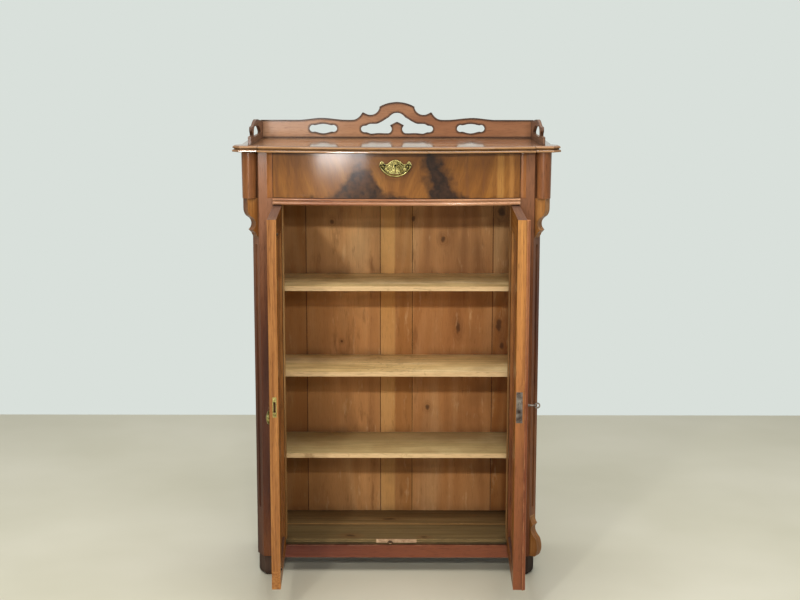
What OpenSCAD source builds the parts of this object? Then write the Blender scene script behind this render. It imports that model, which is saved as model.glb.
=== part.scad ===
// Two-door half-height cabinet with a bowed drawer, canted corners, corner columns on
// scroll brackets, and a pierced gallery round its top. Millimetres, +Z up, -Y is the front.
// It stands with both doors open, and the origin is the middle of its bounding box at the floor.

/* [Case] */
// Width of the body across its side boards
body_w = 852; // [780:2:940]
// Depth of the body, from the stiles' faces to the back of the back boards
body_d = 323; // [290:1:420]
// Height of the top board's upper face above the floor
top_h = 1314; // [1200:2:1460]
// Thickness of the top board
top_t = 19; // [14:1:28]
// Thickness of the side boards
side_t = 18; // [14:1:24]
// Thickness of the back boards
back_t = 10; // [6:1:14]
// Gap between neighbouring back boards
back_gap = 1.2; // [0.4:0.1:3]
// Height of the feet
foot_h = 62; // [50:1:70]
// How far each foot stands back from the post above it
foot_inset = 4; // [2:0.5:8]
// Radius worn round the bottom edge of each front foot
foot_round = 16; // [8:1:20]

/* [Corner posts] */
// Width of each stile's face beside the openings
stile_w = 41; // [34:1:56]
// Width of the cant as seen from the front
cant_w = 22; // [16:1:30]
// Depth of the cant along the side
cant_d = 36; // [24:1:44]
// Depth of a corner post from front to back
post_d = 56; // [52:1:66]
// Radius of the stopped flute in the cant
flute_r = 6; // [4:0.5:8]
// Height of the flute's lower end above the floor
flute_low = 218; // [200:2:300]
// Distance of the flute's upper end below the drawer rail
flute_drop = 124; // [110:2:200]
// Width of the hollow worked on the stile beside the drawer
hollow_w = 15; // [8:1:20]
// Depth of that hollow
hollow_d = 5; // [3:0.5:7]

/* [Columns and brackets] */
// Radius of a corner column at its foot
column_r = 20.5; // [18:0.5:24]
// Radius of a corner column at its swelling near the top
column_top_r = 22; // [19:0.5:26]
// Distance of the column's axis from the face of the cant
column_out = 19.5; // [15:0.5:24]
// Thickness of the scroll brackets across the cant
bracket_w = 30; // [22:1:36]
// How far the upper bracket stands out from the cant
bracket_out = 33; // [26:1:38]
// Height of the upper bracket
bracket_h = 118; // [100:1:122]
// How far the lower bracket stands out from the cant
low_bracket_out = 25; // [18:1:32]
// Height of the lower bracket
low_bracket_h = 126; // [100:1:140]

/* [Drawer] */
// Height of the drawer opening, from the rail to the top board
drawer_open_h = 135.5; // [120:0.5:150]
// Height of the rail between the drawer and the doors
rail_h = 20; // [16:1:28]
// How far the drawer front, rail and top board bow out at the middle
bow = 23; // [12:1:30]
// Thickness of the drawer front at its ends
front_t = 20; // [18:1:24]
// Gap round the drawer front
drawer_gap = 1.5; // [1:0.25:3]
// Thickness of the drawer's sides
drawer_side_t = 12; // [9:1:15]
// Thickness of the drawer's back
drawer_back_t = 10; // [8:1:14]
// Thickness of the drawer's bottom
drawer_bottom_t = 6; // [4:0.5:8]
// Height of the drawer's sides
drawer_side_h = 100; // [70:1:102]
// Length of the drawer box behind its front
drawer_box_l = 255; // [200:1:262]
// How far the drawer slides out
drawer_travel = 220; // [150:5:230]

/* [Handle] */
// Sideways place of the handle, which sits a little left of the middle
handle_x = -3; // [-6:0.5:6]
// Height of the handle's pivots above the drawer front's lower edge
handle_up = 94; // [80:1:96]
// Distance between the handle's two pivots
handle_span = 71; // [60:1:84]
// Width of the back plate
plate_w = 94; // [84:1:104]
// Height of the back plate
plate_h = 43; // [36:1:50]
// Thickness of the back plate
plate_t = 2.4; // [1.6:0.2:3]
// Radius of the bail's rod
bail_r = 2.6; // [2:0.1:3]
// Drop of the bail below its pivots
bail_drop = 28; // [24:1:32]

/* [Doors] */
// Height of the doors' lower edge above the floor
door_low = 87; // [84:1:96]
// Thickness of a door
door_t = 25; // [22:1:28]
// Gap above the doors and where they meet
door_gap = 1.5; // [1:0.25:3]
// Distance of the hinge pins from the door's outer face and hinge edge
pin_inset = 5.2; // [5:0.1:6]
// Gap between a door's hinge edge and the post
hinge_gap = 0.8; // [0.6:0.1:1.5]
// Radius of the hinge pins
pin_r = 2.5; // [2:0.1:2.8]
// Running clearance of pins and shafts
run = 0.06; // [0.04:0.01:0.08]
// Angle at which the left door stands open
left_open = 88; // [0:0.5:90]
// Angle at which the right door stands open
right_open = 89; // [0:0.5:90]
// Width of a door's stiles
door_stile_w = 62; // [54:1:76]
// Height of a door's top rail
door_top_rail_h = 66; // [54:1:84]
// Height of a door's bottom rail, which runs below the stiles
door_bottom_rail_h = 53; // [44:1:70]
// Thickness of the door panels
panel_t = 8; // [6:0.5:10]
// Depth of the panel's face behind the door's outer face
panel_back = 9; // [7:0.5:11]
// Width of the moulding round each panel
moulding_w = 16; // [12:1:22]
// Width of the astragal on the right door
astragal_w = 16; // [12:1:20]
// How far the astragal stands out from the door
astragal_out = 9.5; // [6:0.5:11]
// How far the astragal laps over the left door
astragal_lap = 5; // [3:0.5:7]

/* [Lock and bolts] */
// Height of the keyhole above the door's lower edge
key_up = 529; // [440:1:620]
// Distance of the keyhole from the door's free edge
backset = 28; // [26:0.5:34]
// Height of the lock's forend
forend_h = 88; // [74:1:110]
// Width of the lock's forend
forend_w = 18; // [16:0.5:20]
// Height of the lock's bolt
lock_bolt_h = 29; // [24:1:32]
// How far the lock's bolt shoots
lock_throw = 10; // [6:0.5:11]
// Thickness of the lock's bolt
lock_bolt_thick = 6; // [5:0.5:7]
// Radius of the key's shaft
key_r = 2.6; // [2:0.1:3]
// Outer radius of the key's ring
ring_r = 8.5; // [7:0.5:11]
// Radius of the rods of the left door's bolts
rod_r = 3; // [2.5:0.1:3.5]
// How far the left door's bolts shoot
rod_throw = 10; // [7:0.5:12]
// Distance of those rods from the left door's free edge
rod_in = 18; // [14:1:22]

/* [Inside] */
// Height of the upper shelf's top
shelf_high = 888; // [800:1:960]
// Height of the middle shelf's top
shelf_mid = 625; // [540:1:700]
// Height of the lower shelf's top
shelf_low = 370; // [300:1:440]
// Thickness of the shelves
shelf_t = 14; // [11:1:20]
// Distance of the shelves' front edges behind the stiles' faces
shelf_back = 58; // [56:1:90]
// Width of the battens that the shelves rest on
cleat_w = 20; // [14:1:30]
// Height of the bottom boards' upper face
sill_top = 107; // [96:1:116]
// Thickness of the bottom boards
sill_t = 19; // [14:1:22]
// Distance of the joint between the bottom boards behind the stiles' faces
sill_joint = 178; // [120:1:220]
// Height of the plinth rail
plinth_h = 40; // [30:1:48]
// Gap between the closed doors and what they close against
stop_gap = 1.2; // [0.8:0.1:2]
// How far the stop battens reach into the doorway behind the stiles
stop_w = 27; // [18:1:40]

/* [Top and gallery] */
// How far the top board stands out in front of the stiles at the ends of its bow
top_over = 28; // [20:1:36]
// How far the top board's own front bows out at the middle
top_bow = 41; // [30:1:52]
// How far the top board stands out past the sides
side_over = 36; // [24:1:44]
// How far the ears over the columns stand out past the rest of the top board
ear_out = 18; // [10:1:24]
// Overhang of the top board at the back
back_over = 5; // [0:1:12]
// Thickness of the gallery's back board
gallery_t = 11; // [8:1:14]
// Thickness of the side galleries
gallery_side_t = 9; // [7:1:12]
// How far the side galleries' front ends lean out past their back ends
gallery_splay = 8; // [0:1:14]
// Height of the gallery's plain rail
gallery_h = 56.5; // [46:0.5:64]
// Height of the gallery's crown at the middle of the back
crown_h = 112.2; // [92:0.2:124]
// How far the gallery's back board stands out past the body's sides
gallery_past = 0; // [0:1:12]
// Distance of the side galleries' front ends behind the stiles' faces
gallery_front = 9; // [4:1:60]

/* [Hidden] */
$fn = 48;

// Cut tools run this far past what they cut
over = 1;
// Clearance of pieces let into wood
fit = 0.05;
// Clearance of sliding bolts
slide = 0.3;

half_w = body_w / 2;
open_x = half_w - cant_w - stile_w;
pin_x = open_x - hinge_gap - pin_inset;
leaf = pin_x - door_gap / 2;
pin_y = pin_inset + hinge_gap;
sill_back = hinge_gap + door_t + stop_gap;
right_reach = (leaf + astragal_lap) * sin(right_open) + (pin_inset + astragal_out) * cos(right_open);
left_reach = leaf * sin(left_open) + pin_inset * cos(left_open);
reach = max(right_reach, left_reach) - pin_y;
front_y = (reach - body_d - back_over) / 2;
back_y = front_y + body_d;
inner_back_y = back_y - back_t;
case_top = top_h - top_t;
rail_top = case_top - drawer_open_h;
rail_low = rail_top - rail_h;
door_high = rail_low - door_gap;
bow_r = (open_x * open_x + bow * bow) / (2 * bow);
bow_y = front_y - bow + bow_r;
bow_fn = 720;

cant_mid = [half_w - cant_w / 2, front_y + cant_d / 2];
cant_turn = atan2(cant_w, cant_d);

// Outline functions

function arc(c, r, a0, a1, n) =
    [for (i = [0:n]) c + r * [cos(a0 + (a1 - a0) * i / n), sin(a0 + (a1 - a0) * i / n)]];

function flip(p) = [for (i = [len(p) - 1:-1:0]) [-p[i][0], p[i][1]]];

function curve_at(a, b, c, d, t) =
    0.5 * (2 * b + (c - a) * t + (2 * a - 5 * b + 4 * c - d) * t * t + (3 * b - a - 3 * c + d) * t * t * t);

// A smooth line through open points
function through(p, n) =
    let (m = len(p) - 1)
    concat([for (i = [0:m - 1]) for (k = [0:n - 1])
                curve_at(p[max(i - 1, 0)], p[i], p[i + 1], p[min(i + 2, m)], k / n)], [p[m]]);

// A smooth line round closed points
function round_through(p, n) =
    let (m = len(p))
    [for (i = [0:m - 1]) for (k = [0:n - 1])
        curve_at(p[(i + m - 1) % m], p[i], p[(i + 1) % m], p[(i + 2) % m], k / n)];

function unit(v) = v / norm(v);

// The outline moved inwards by d, with mitred corners
function inset(p, d) =
    let (m = len(p))
    [for (i = [0:m - 1])
        let (a = unit(p[i] - p[(i + m - 1) % m]), b = unit(p[(i + 1) % m] - p[i]),
             na = [-a[1], a[0]], nb = [-b[1], b[0]])
        p[i] + (na + nb) * d / (1 + na * nb)];

// A solid through rings of one outline, each ring given as [inset, height]
module ring_stack(outline, levels) {
    m = len(outline);
    n = len(levels);
    points = [for (l = levels) for (q = inset(outline, l[0])) [q[0], q[1], l[1]]];
    sides = [for (j = [0:n - 2]) for (i = [0:m - 1])
        [j * m + i, (j + 1) * m + i, (j + 1) * m + (i + 1) % m, j * m + (i + 1) % m]];
    low = [for (i = [0:m - 1]) i];
    high = [for (i = [m - 1:-1:0]) (n - 1) * m + i];
    polyhedron(points, concat(sides, [low, high]), convexity = 8);
}

module box(x0, x1, y0, y1, z0, z1) {
    translate([x0, y0, z0]) cube([x1 - x0, y1 - y0, z1 - z0]);
}

module both_sides() {
    children();
    mirror([1, 0, 0]) children();
}

// An outline of [sideways, up] points made a board that is t thick, from y backwards
module upright(outline, y, t, z) {
    translate([0, y + t, z]) rotate([90, 0, 0]) linear_extrude(t) polygon(outline);
}

// Case

module side_board() {
    difference() {
        box(half_w - side_t, half_w, front_y + post_d, back_y, foot_h, case_top);
        box(half_w - side_t - over, half_w - side_t / 2, inner_back_y, back_y + over,
            foot_h - over, case_top + over);
    }
}

module side_left() { color("peru") mirror([1, 0, 0]) side_board(); }
module side_right() { color("peru") side_board(); }

function post_outline() = [
    [open_x, front_y], [half_w - cant_w, front_y], [half_w, front_y + cant_d],
    [half_w, front_y + post_d], [open_x, front_y + post_d]];

// Places things on the right cant: +X along it, -Y out of it
module on_cant() {
    translate([cant_mid[0], cant_mid[1], 0]) rotate([0, 0, 90 - cant_turn]) children();
}

module corner_post() {
    flute_top = rail_low - flute_drop;
    difference() {
        translate([0, 0, foot_h]) linear_extrude(case_top - foot_h) polygon(post_outline());
        on_cant() {
            translate([0, 0, flute_low]) cylinder(r = flute_r, h = flute_top - flute_low);
            translate([0, 0, flute_low]) sphere(r = flute_r);
            translate([0, 0, flute_top]) sphere(r = flute_r);
        }
        hollow_r = (hollow_w * hollow_w + hollow_d * hollow_d) / (2 * hollow_d);
        translate([open_x + 1, front_y - hollow_r + hollow_d, rail_top])
            cylinder(r = hollow_r, h = drawer_open_h + over, $fn = 96);
    }
}

module corner_post_left() { color("sienna") mirror([1, 0, 0]) corner_post(); }
module corner_post_right() { color("sienna") corner_post(); }

// The column widens slightly towards its top and is fitted over the canted corner
module column() {
    profile = [[0, 0], [column_r, 0], [column_top_r, drawer_open_h], [0, drawer_open_h]];
    difference() {
        on_cant() translate([0, -column_out, rail_top]) rotate_extrude($fn = 64) polygon(profile);
        translate([0, 0, rail_top - over]) linear_extrude(drawer_open_h + 2 * over)
            polygon(concat(post_outline(), [[half_w, back_y]]));
        box(half_w - side_t, half_w, front_y + post_d - over, back_y, rail_top - over, case_top + over);
    }
}

module column_left() { color("sienna") mirror([1, 0, 0]) column(); }
module column_right() { color("sienna") column(); }

// Outer edge of the upper bracket as [out, down], from its block to its tip
function upper_scroll() =
    let (o = bracket_out, h = bracket_h)
    concat([[o, 0], [o, 0.24 * h]],
           through([[o, 0.25 * h], [0.97 * o, 0.33 * h], [0.80 * o, 0.43 * h], [0.48 * o, 0.50 * h],
                    [0.29 * o, 0.57 * h], [0.24 * o, 0.65 * h], [0.31 * o, 0.73 * h], [0.52 * o, 0.80 * h]], 4),
           through([[0.40 * o, 0.835 * h], [0.24 * o, 0.88 * h], [0.17 * o, 0.93 * h], [0, h]], 3));

module upper_bracket() {
    difference() {
        on_cant() rotate([90, 0, -90]) translate([0, 0, -bracket_w / 2])
            linear_extrude(bracket_w)
                polygon(concat([[0, rail_top]], [for (q = upper_scroll()) [q[0], rail_top - q[1]]]));
        translate([0, 0, rail_low - bracket_h - over]) linear_extrude(bracket_h + rail_h + 2 * over)
            polygon(post_outline());
    }
}

module upper_bracket_left() { color("chocolate") mirror([1, 0, 0]) upper_bracket(); }
module upper_bracket_right() { color("chocolate") upper_bracket(); }

// Outer edge of the lower bracket as [out, up], from the foot to its tip
function lower_scroll() =
    let (o = low_bracket_out, h = low_bracket_h)
    concat([[0.70 * o, 0]],
           through([[0.84 * o, 0.04 * h], [o, 0.15 * h], [o, 0.27 * h], [0.82 * o, 0.42 * h],
                    [0.50 * o, 0.50 * h], [0.20 * o, 0.60 * h], [0.14 * o, 0.70 * h], [0.40 * o, 0.79 * h]], 4),
           through([[0.26 * o, 0.825 * h], [0.10 * o, 0.90 * h], [0, h]], 3));

module lower_bracket_right() {
    color("chocolate") on_cant() rotate([90, 0, -90]) translate([0, 0, -bracket_w / 2])
        linear_extrude(bracket_w)
            polygon(concat([[0, foot_h]], [for (q = lower_scroll()) [q[0], foot_h + q[1]]]));
}

// Front feet follow the canted corner and are worn round at the floor
module front_foot() {
    plan = inset(post_outline(), foot_inset);
    worn = [for (i = [0:5]) [foot_round * (1 - sin(18 * i)) * 0.55, foot_round * (1 - cos(18 * i))]];
    ring_stack(plan, concat(worn, [[0, foot_h]]));
}

module feet_front() { color("#2b1d1b") both_sides() front_foot(); }

module feet_rear() {
    foot_w = 44;
    taper = 5;
    plan = [[half_w - side_t - foot_w, back_y - foot_w - foot_inset], [half_w - foot_inset, back_y - foot_w - foot_inset],
            [half_w - foot_inset, back_y - foot_inset], [half_w - side_t - foot_w, back_y - foot_inset]];
    color("#2b1d1b") both_sides() ring_stack(plan, [[taper, 0], [0, foot_h]]);
}

module plinth_rail() {
    rail_t = 20;
    color("brown") box(-open_x, open_x, front_y + sill_back, front_y + sill_back + rail_t,
                       sill_top - sill_t - plinth_h, sill_top - sill_t);
}

// The strip let into the front edge of the bottom boards, with a round keeper for the lower bolt
strip_l = 123;
strip_t = 2.5;
strip_h = 9.4;
keeper_r = 5.5;
keeper_t = 2;
rod_deep = 5.5;
rod_x = -door_gap / 2 - rod_in;
rod_y = front_y + pin_y + door_t - pin_inset - rod_deep;
keeper_top = sill_top - strip_h;

module strip_plate(c) {
    box(-strip_l / 2 - c, strip_l / 2 + c, front_y + sill_back - (c > 0 ? over : 0),
        front_y + sill_back + strip_t + c, keeper_top - keeper_t - c, sill_top + (c > 0 ? over : 0));
}

module sill_strip() {
    color("burlywood") difference() {
        union() {
            strip_plate(0);
            box(rod_x - keeper_r, rod_x + keeper_r, rod_y, front_y + sill_back + strip_t,
                keeper_top - keeper_t, keeper_top);
            translate([rod_x, rod_y, keeper_top - keeper_t]) cylinder(r = keeper_r, h = keeper_t);
        }
        translate([rod_x, rod_y, keeper_top - keeper_t - over])
            cylinder(r = rod_r + slide, h = keeper_t + 2 * over);
    }
}

// Two bottom boards, the front one notched round the posts and undercut below its edge
module bottom_boards() {
    joint_gap = 1.5;
    lip = 9.3;
    undercut = 8;
    yf = front_y + sill_back;
    yp = front_y + post_d;
    color("tan") {
        difference() {
            union() {
                box(-open_x, open_x, yf, yp, sill_top - sill_t, sill_top);
                box(-half_w + side_t, half_w - side_t, yp, front_y + sill_joint, sill_top - sill_t, sill_top);
            }
            box(-half_w, half_w, yf - over, yf + undercut, sill_top - sill_t - over, sill_top - lip);
            strip_plate(fit);
        }
        box(-half_w + side_t, half_w - side_t, front_y + sill_joint + joint_gap, inner_back_y,
            sill_top - sill_t, sill_top);
    }
}

// Hinge plates: flat in the drawer rail above, angled off the posts below, each with its pin
plate_l = 24;
plate_wide = 14;
hinge_t = 2.8;
pin_l = 9;

module upper_hinge_plate(c) {
    box(open_x - plate_l - c, open_x, front_y + pin_y - pin_r - c, front_y + plate_wide + c,
        rail_low - (c > 0 ? over : 0), rail_low + hinge_t + c);
}

module hinge_plates() {
    leg_h = 21;
    low_top = door_low - 0.7;
    color("dimgray") both_sides() {
        union() {
            upper_hinge_plate(0);
            translate([pin_x, front_y + pin_y, rail_low - pin_l]) cylinder(r = pin_r, h = pin_l + over);
        }
        union() {
            box(open_x - plate_l, open_x, front_y + over, front_y + plate_wide, low_top - hinge_t, low_top);
            box(open_x - hinge_t, open_x, front_y + over, front_y + plate_wide, low_top - leg_h, low_top);
            translate([pin_x, front_y + pin_y, low_top - over]) cylinder(r = pin_r, h = pin_l + over);
        }
    }
}

// A slab whose front follows the bow; grow moves that face out
module bowed_slab(x, z0, z1, y1, grow) {
    intersection() {
        translate([0, bow_y, z0]) cylinder(r = bow_r + grow, h = z1 - z0, $fn = bow_fn);
        box(-x, x, front_y - 2 * bow, y1, z0, z1);
    }
}

bead_back = 4;
bead_out = 5;

module drawer_rail() {
    color("sienna") difference() {
        bowed_slab(open_x, rail_low, rail_top, front_y + post_d, -bead_back);
        both_sides() upper_hinge_plate(fit);
        translate([rod_x, rod_y, rail_low - over]) cylinder(r = rod_r + slide, h = rod_throw + 1 + over);
    }
}

// The double bead along the rail: a small bead, a quirk and a fat bead below it
module rail_bead() {
    small = 3;
    fat = 5.5;
    quirk = 2.5;
    profile = concat(
        [[-bead_back, 0], [0, 0]],
        arc([0, fat], fat, -80, 80, 8),
        [[1, 2 * fat + 0.4], [1, 2 * fat + quirk]],
        arc([1, 2 * fat + quirk + small], small, -80, 80, 6),
        [[0.5, rail_h], [-bead_back, rail_h]]);
    color("sienna") intersection() {
        translate([0, bow_y, rail_low]) rotate_extrude($fn = bow_fn)
            translate([bow_r, 0]) polygon(profile);
        difference() {
            box(-open_x, open_x, front_y - 2 * bow, front_y + post_d, rail_low, rail_top);
            both_sides() upper_hinge_plate(fit);
        }
    }
}

module top_cross_rails() {
    rail_t = 20;
    rail_w = 44;
    color("tan") {
        box(-open_x, open_x, front_y + sill_back, front_y + post_d, case_top - rail_t, case_top);
        box(-half_w + side_t, half_w - side_t, inner_back_y - rail_w, inner_back_y, case_top - rail_t, case_top);
    }
}

drawer_low = rail_top + drawer_gap;
runner_top = rail_top + 1.2;
box_x = open_x - 4;

// Each runner carries the drawer's side and guides it; blocks on the rail stop the drawer's front
module drawer_runners() {
    guide_h = 28;
    guide_gap = 0.8;
    stop_l = 50;
    stop_at = 190;
    color("tan") both_sides() {
        union() {
            box(box_x - 20, half_w - side_t, front_y + post_d, inner_back_y, rail_low, runner_top);
            box(box_x + guide_gap, box_x + guide_gap + 14, front_y + post_d, inner_back_y, rail_low,
                runner_top + guide_h);
        }
        box(stop_at, stop_at + stop_l, front_y + front_t + slide, front_y + front_t + 28, rail_top,
            rail_top + drawer_gap + 3.5);
    }
}

module shelf(z) {
    color("tan") box(-half_w + side_t, half_w - side_t, front_y + shelf_back, inner_back_y, z - shelf_t, z);
}

module shelf_upper() { shelf(shelf_high); }
module shelf_middle() { shelf(shelf_mid); }
module shelf_lower() { shelf(shelf_low); }

module shelf_battens() {
    batten_h = 18;
    color("tan") for (z = [shelf_low, shelf_mid, shelf_high])
        both_sides() box(half_w - side_t - cleat_w, half_w - side_t, front_y + shelf_back + 6, inner_back_y,
                         z - shelf_t - batten_h, z - shelf_t);
}

module stop_battens() {
    color("tan") both_sides()
        box(open_x - stop_w, open_x, front_y + sill_back, front_y + post_d, sill_top, rail_low);
}

// Joints of the back boards, as shares of the width between the sides' rebates
board_joints = [0, 0.156, 0.437, 0.559, 0.864, 1];

module back_boards() {
    x0 = -half_w + side_t / 2;
    w = body_w - side_t;
    last = len(board_joints) - 2;
    tongue_y = back_y - back_t / 2;
    tongue_w = 4;
    tongue_half = back_t / 6;
    color("sandybrown") for (i = [0:last]) {
        left = x0 + w * board_joints[i] + (i > 0 ? back_gap / 2 : 0);
        right = x0 + w * board_joints[i + 1] - (i < last ? back_gap / 2 : 0);
        difference() {
            union() {
                box(left, right, inner_back_y, back_y, foot_h, case_top);
                if (i < last) box(right - over, right + back_gap + tongue_w, tongue_y - tongue_half,
                                  tongue_y + tongue_half, foot_h, case_top);
            }
            if (i > 0) box(left - over, left + tongue_w + fit, tongue_y - tongue_half - fit,
                           tongue_y + tongue_half + fit, foot_h - over, case_top + over);
        }
    }
}

// Top board: bowed front, ears over the columns, moulded edge
ear_x = half_w + side_over + ear_out;
ear_in = half_w - cant_w;
ear_y = front_y - 20;
ear_back = front_y + 58;
ear_cut = 22;
top_r = (ear_in * ear_in + top_bow * top_bow) / (2 * top_bow);

function top_outline() =
    let (a = asin(ear_in / top_r), n = 20, y = front_y - top_over - top_bow + top_r,
         front = [for (i = [0:n]) [0, y] + top_r * [sin(-a + 2 * a * i / n), -cos(-a + 2 * a * i / n)]],
         right = [[ear_in + 3, ear_y], [ear_x - ear_cut, ear_y + 0.3], [ear_x, ear_y + ear_cut],
                  [ear_x, ear_back - ear_out], [ear_x - ear_out, ear_back], [ear_x - ear_out, back_y + back_over]])
    concat(front, right, flip(right));

// The edge from below: a bead, a deep groove, then a broad round up to the face
module top_board() {
    levels = [[2.6, 0], [0.9, 0.5], [0, 1.8], [0, 4.6], [0.9, 6], [2.6, 6.7], [5.8, 7.2], [6.6, 8.6], [6, 10],
              [3.6, 10.8], [2, 12], [1.6, 14], [2.6, 16.4], [4.8, 18], [8, 19]];
    k = top_t / 19;
    color("sienna") difference() {
        ring_stack(top_outline(), [for (l = levels) [l[0], case_top + l[1] * k]]);
        box(handle_x - 12, handle_x + 12, front_y + 6, front_y + 18, case_top - over, case_top + 11);
    }
}

// Gallery along the back: plain rail, a swell each side, coves, small ears, scoops and a crown.
// Its curves are given for a rail 56.5 high with a crown 112.2 high and stretched to the sizes above.
gallery_back_y = back_y - 2;
gallery_x = half_w + gallery_past;
gu = gallery_h / 56.5;

function stretched(p) = [for (q = p)
    [q[0] * gu, q[1] <= 56.5 ? q[1] * gu : gallery_h + (q[1] - 56.5) * (crown_h - gallery_h) / 55.7]];

function gallery_top() =
    let (corner = 3 * gu)
    concat([[gallery_x, 0]], arc([gallery_x - corner, gallery_h - corner], corner, 0, 90, 3),
           stretched(concat(
               through([[300, 56.6], [275, 59.1], [256, 61.4], [237, 62.7], [214, 61.6], [191, 59.1], [170, 57.1],
                        [153, 56.6], [137, 56.9], [126, 60], [117, 66.8], [111.5, 73.4], [108.6, 78.3], [105.6, 79.8],
                        [101.6, 78.2]], 3),
               through([[97.6, 76], [89, 72.7], [80, 72.2], [69.6, 74.9], [60.2, 82.3], [55.2, 91], [54, 98]], 3),
               through([[53.4, 98.2], [41.5, 103.9], [23, 109.6], [0, 112.2]], 3))));

oval_c = 229.6;
function oval() = [for (q = stretched(concat(
    through([[-27, 40.3], [-20, 41.3], [-12, 43.3], [0, 44.5], [12, 43.3], [20, 41.3], [27, 40.3]], 2),
    through([[28.3, 40.5], [32.5, 41.4], [38, 39], [42, 34], [43, 29.6], [42, 25.4], [38, 21.2], [32.5, 19.4],
             [28.3, 20.1]], 3),
    through([[27, 20.3], [20, 18.8], [10, 16], [0, 14.8], [-10, 16], [-20, 18.8], [-27, 20.3]], 2),
    through([[-28.3, 20.1], [-32.5, 19.4], [-38, 21.2], [-42, 25.4], [-43, 29.6], [-42, 34], [-38, 39], [-32.5, 41.4],
             [-28.3, 40.5]], 3)))) [oval_c * gu + q[0], q[1]]];

// Half of the middle opening's edge, from below the finial round to the top
function middle_half() = stretched(concat(
    through([[14, 14.5], [26, 15.2], [38.5, 15], [52, 15.6], [64, 15.3], [76, 14], [83, 14.2], [89, 16.4], [95, 18.5]], 2),
    through([[95.6, 18.3], [101, 18.3], [107, 20], [111, 24.4], [112.1, 29.2], [110.8, 33.2], [107, 37], [101, 38.7],
             [96, 38.8]], 3),
    through([[95, 39.2], [88.5, 43], [82, 44.5], [70, 44.6], [63.5, 44.9], [57, 46.8], [45, 52.8], [32, 61.2],
             [26, 64.6], [20, 70.4], [13.6, 75.2], [7.4, 77.8], [0, 78.6]], 3)));

// The finial that stands in the middle opening
function finial_half() = stretched(concat(
    through([[26, 14.6], [21.4, 17.6], [18.3, 21], [16.8, 25], [16.2, 28.6], [17, 32.2], [19.2, 36.4], [21.6, 39.8]], 3),
    through([[20.6, 40.6], [11.2, 45.6], [5, 48.8], [0, 50.6]], 3)));

module gallery_back() {
    top = gallery_top();
    mid = middle_half();
    fin = finial_half();
    y = gallery_back_y - gallery_t;
    color("sienna") difference() {
        upright(concat(top, flip([for (i = [0:len(top) - 2]) top[i]])), y, gallery_t, top_h);
        upright(oval(), y - over, gallery_t + 2 * over, top_h);
        upright(flip(oval()), y - over, gallery_t + 2 * over, top_h);
        difference() {
            upright(concat([[0, 14.2 * gu]], mid, flip([for (i = [0:len(mid) - 2]) mid[i]])), y - over,
                    gallery_t + 2 * over, top_h);
            upright(concat([[0, 5 * gu], [27 * gu, 5 * gu]], fin, flip([for (i = [0:len(fin) - 2]) fin[i]]),
                           [[-27 * gu, 5 * gu]]),
                    y - 2 * over, gallery_t + 4 * over, top_h);
        }
    }
}

// Side gallery, as [back from its front end, up], butted against the back board and leaning out in front
side_end = gallery_back_y - gallery_t;
side_l = side_end - (front_y + gallery_front);
side_lean = asin(gallery_splay / side_l);

function along_side(p) = [for (q = p) [q[0] * side_l / 301, q[1] * gu]];

function side_gallery_top() = along_side(concat([[0, 0], [0, 22.6]],
    through([[2, 24], [24, 24.2], [44, 24.2], [46, 27], [43, 31.5], [36, 36], [33.6, 41], [34.4, 46.6], [38, 50.2],
             [52, 51], [67, 51.4], [86, 55.4], [108, 62], [136, 66.6], [166, 66], [196, 63.2], [232, 59.2],
             [262, 55.4], [290, 52]], 3)));

function side_gallery_hole() = along_side(round_through([
    [76.5, 20.4], [73, 30], [77, 41], [87, 47.4], [102, 49], [142, 48.2], [183, 45.4], [203, 40.6], [223, 32.6],
    [235, 24.6], [224, 18.4], [184, 19.2], [130, 18.6], [96, 18.4]], 3));

module side_gallery() {
    difference() {
        translate([gallery_x, side_end, top_h]) rotate([0, 0, side_lean]) translate([-gallery_side_t, -side_l, 0])
            rotate([90, 0, 90]) linear_extrude(gallery_side_t) difference() {
                polygon(concat(side_gallery_top(), [[side_l, 51.2 * gu], [side_l + 1, 51.2 * gu], [side_l + 1, 0]]));
                polygon(side_gallery_hole());
            }
        box(0, gallery_x + 10, side_end, side_end + 10, top_h - over, top_h + 2 * gallery_h);
    }
}

module gallery_left() { color("sienna") mirror([1, 0, 0]) side_gallery(); }
module gallery_right() { color("sienna") side_gallery(); }

// Drawer

lock_w = 60;
lock_t = 12;
lock_drop = 52;
drawer_high = case_top - 4;
lock_bolt_w = 20;
lock_bolt_t = 5;
lock_bolt_l = 24;
bolt_mid_y = front_y + front_t - lock_t / 2 - 1;

module keyhole(r, slot_w, slot_l, y0, y1) {
    translate([0, y0, 0]) rotate([-90, 0, 0]) cylinder(r = r, h = y1 - y0);
    box(-slot_w / 2, slot_w / 2, y0, y1, -slot_l, 0);
}

drawer_key_z = drawer_low + handle_up + 3;

module drawer_front() {
    color("peru") difference() {
        bowed_slab(open_x - drawer_gap, drawer_low, drawer_high, front_y + front_t, 0);
        box(handle_x - lock_w / 2 - fit, handle_x + lock_w / 2 + fit, front_y + front_t - lock_t - fit,
            front_y + front_t + over, drawer_high - lock_drop - fit, drawer_high + over);
        translate([handle_x, 0, drawer_key_z])
            keyhole(3.4, 3.4, 14, front_y - 2 * bow, front_y + front_t);
    }
}

module drawer_lock() {
    color("darkgoldenrod") difference() {
        box(handle_x - lock_w / 2, handle_x + lock_w / 2, front_y + front_t - lock_t, front_y + front_t,
            drawer_high - lock_drop, drawer_high);
        box(handle_x - lock_bolt_w / 2 - slide, handle_x + lock_bolt_w / 2 + slide,
            bolt_mid_y - lock_bolt_t / 2 - slide, bolt_mid_y + lock_bolt_t / 2 + slide,
            drawer_high - lock_bolt_l - 3, drawer_high + over);
        translate([handle_x, 0, drawer_key_z]) keyhole(3.4, 3.4, 14, front_y, front_y + front_t - 2);
    }
}

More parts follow.
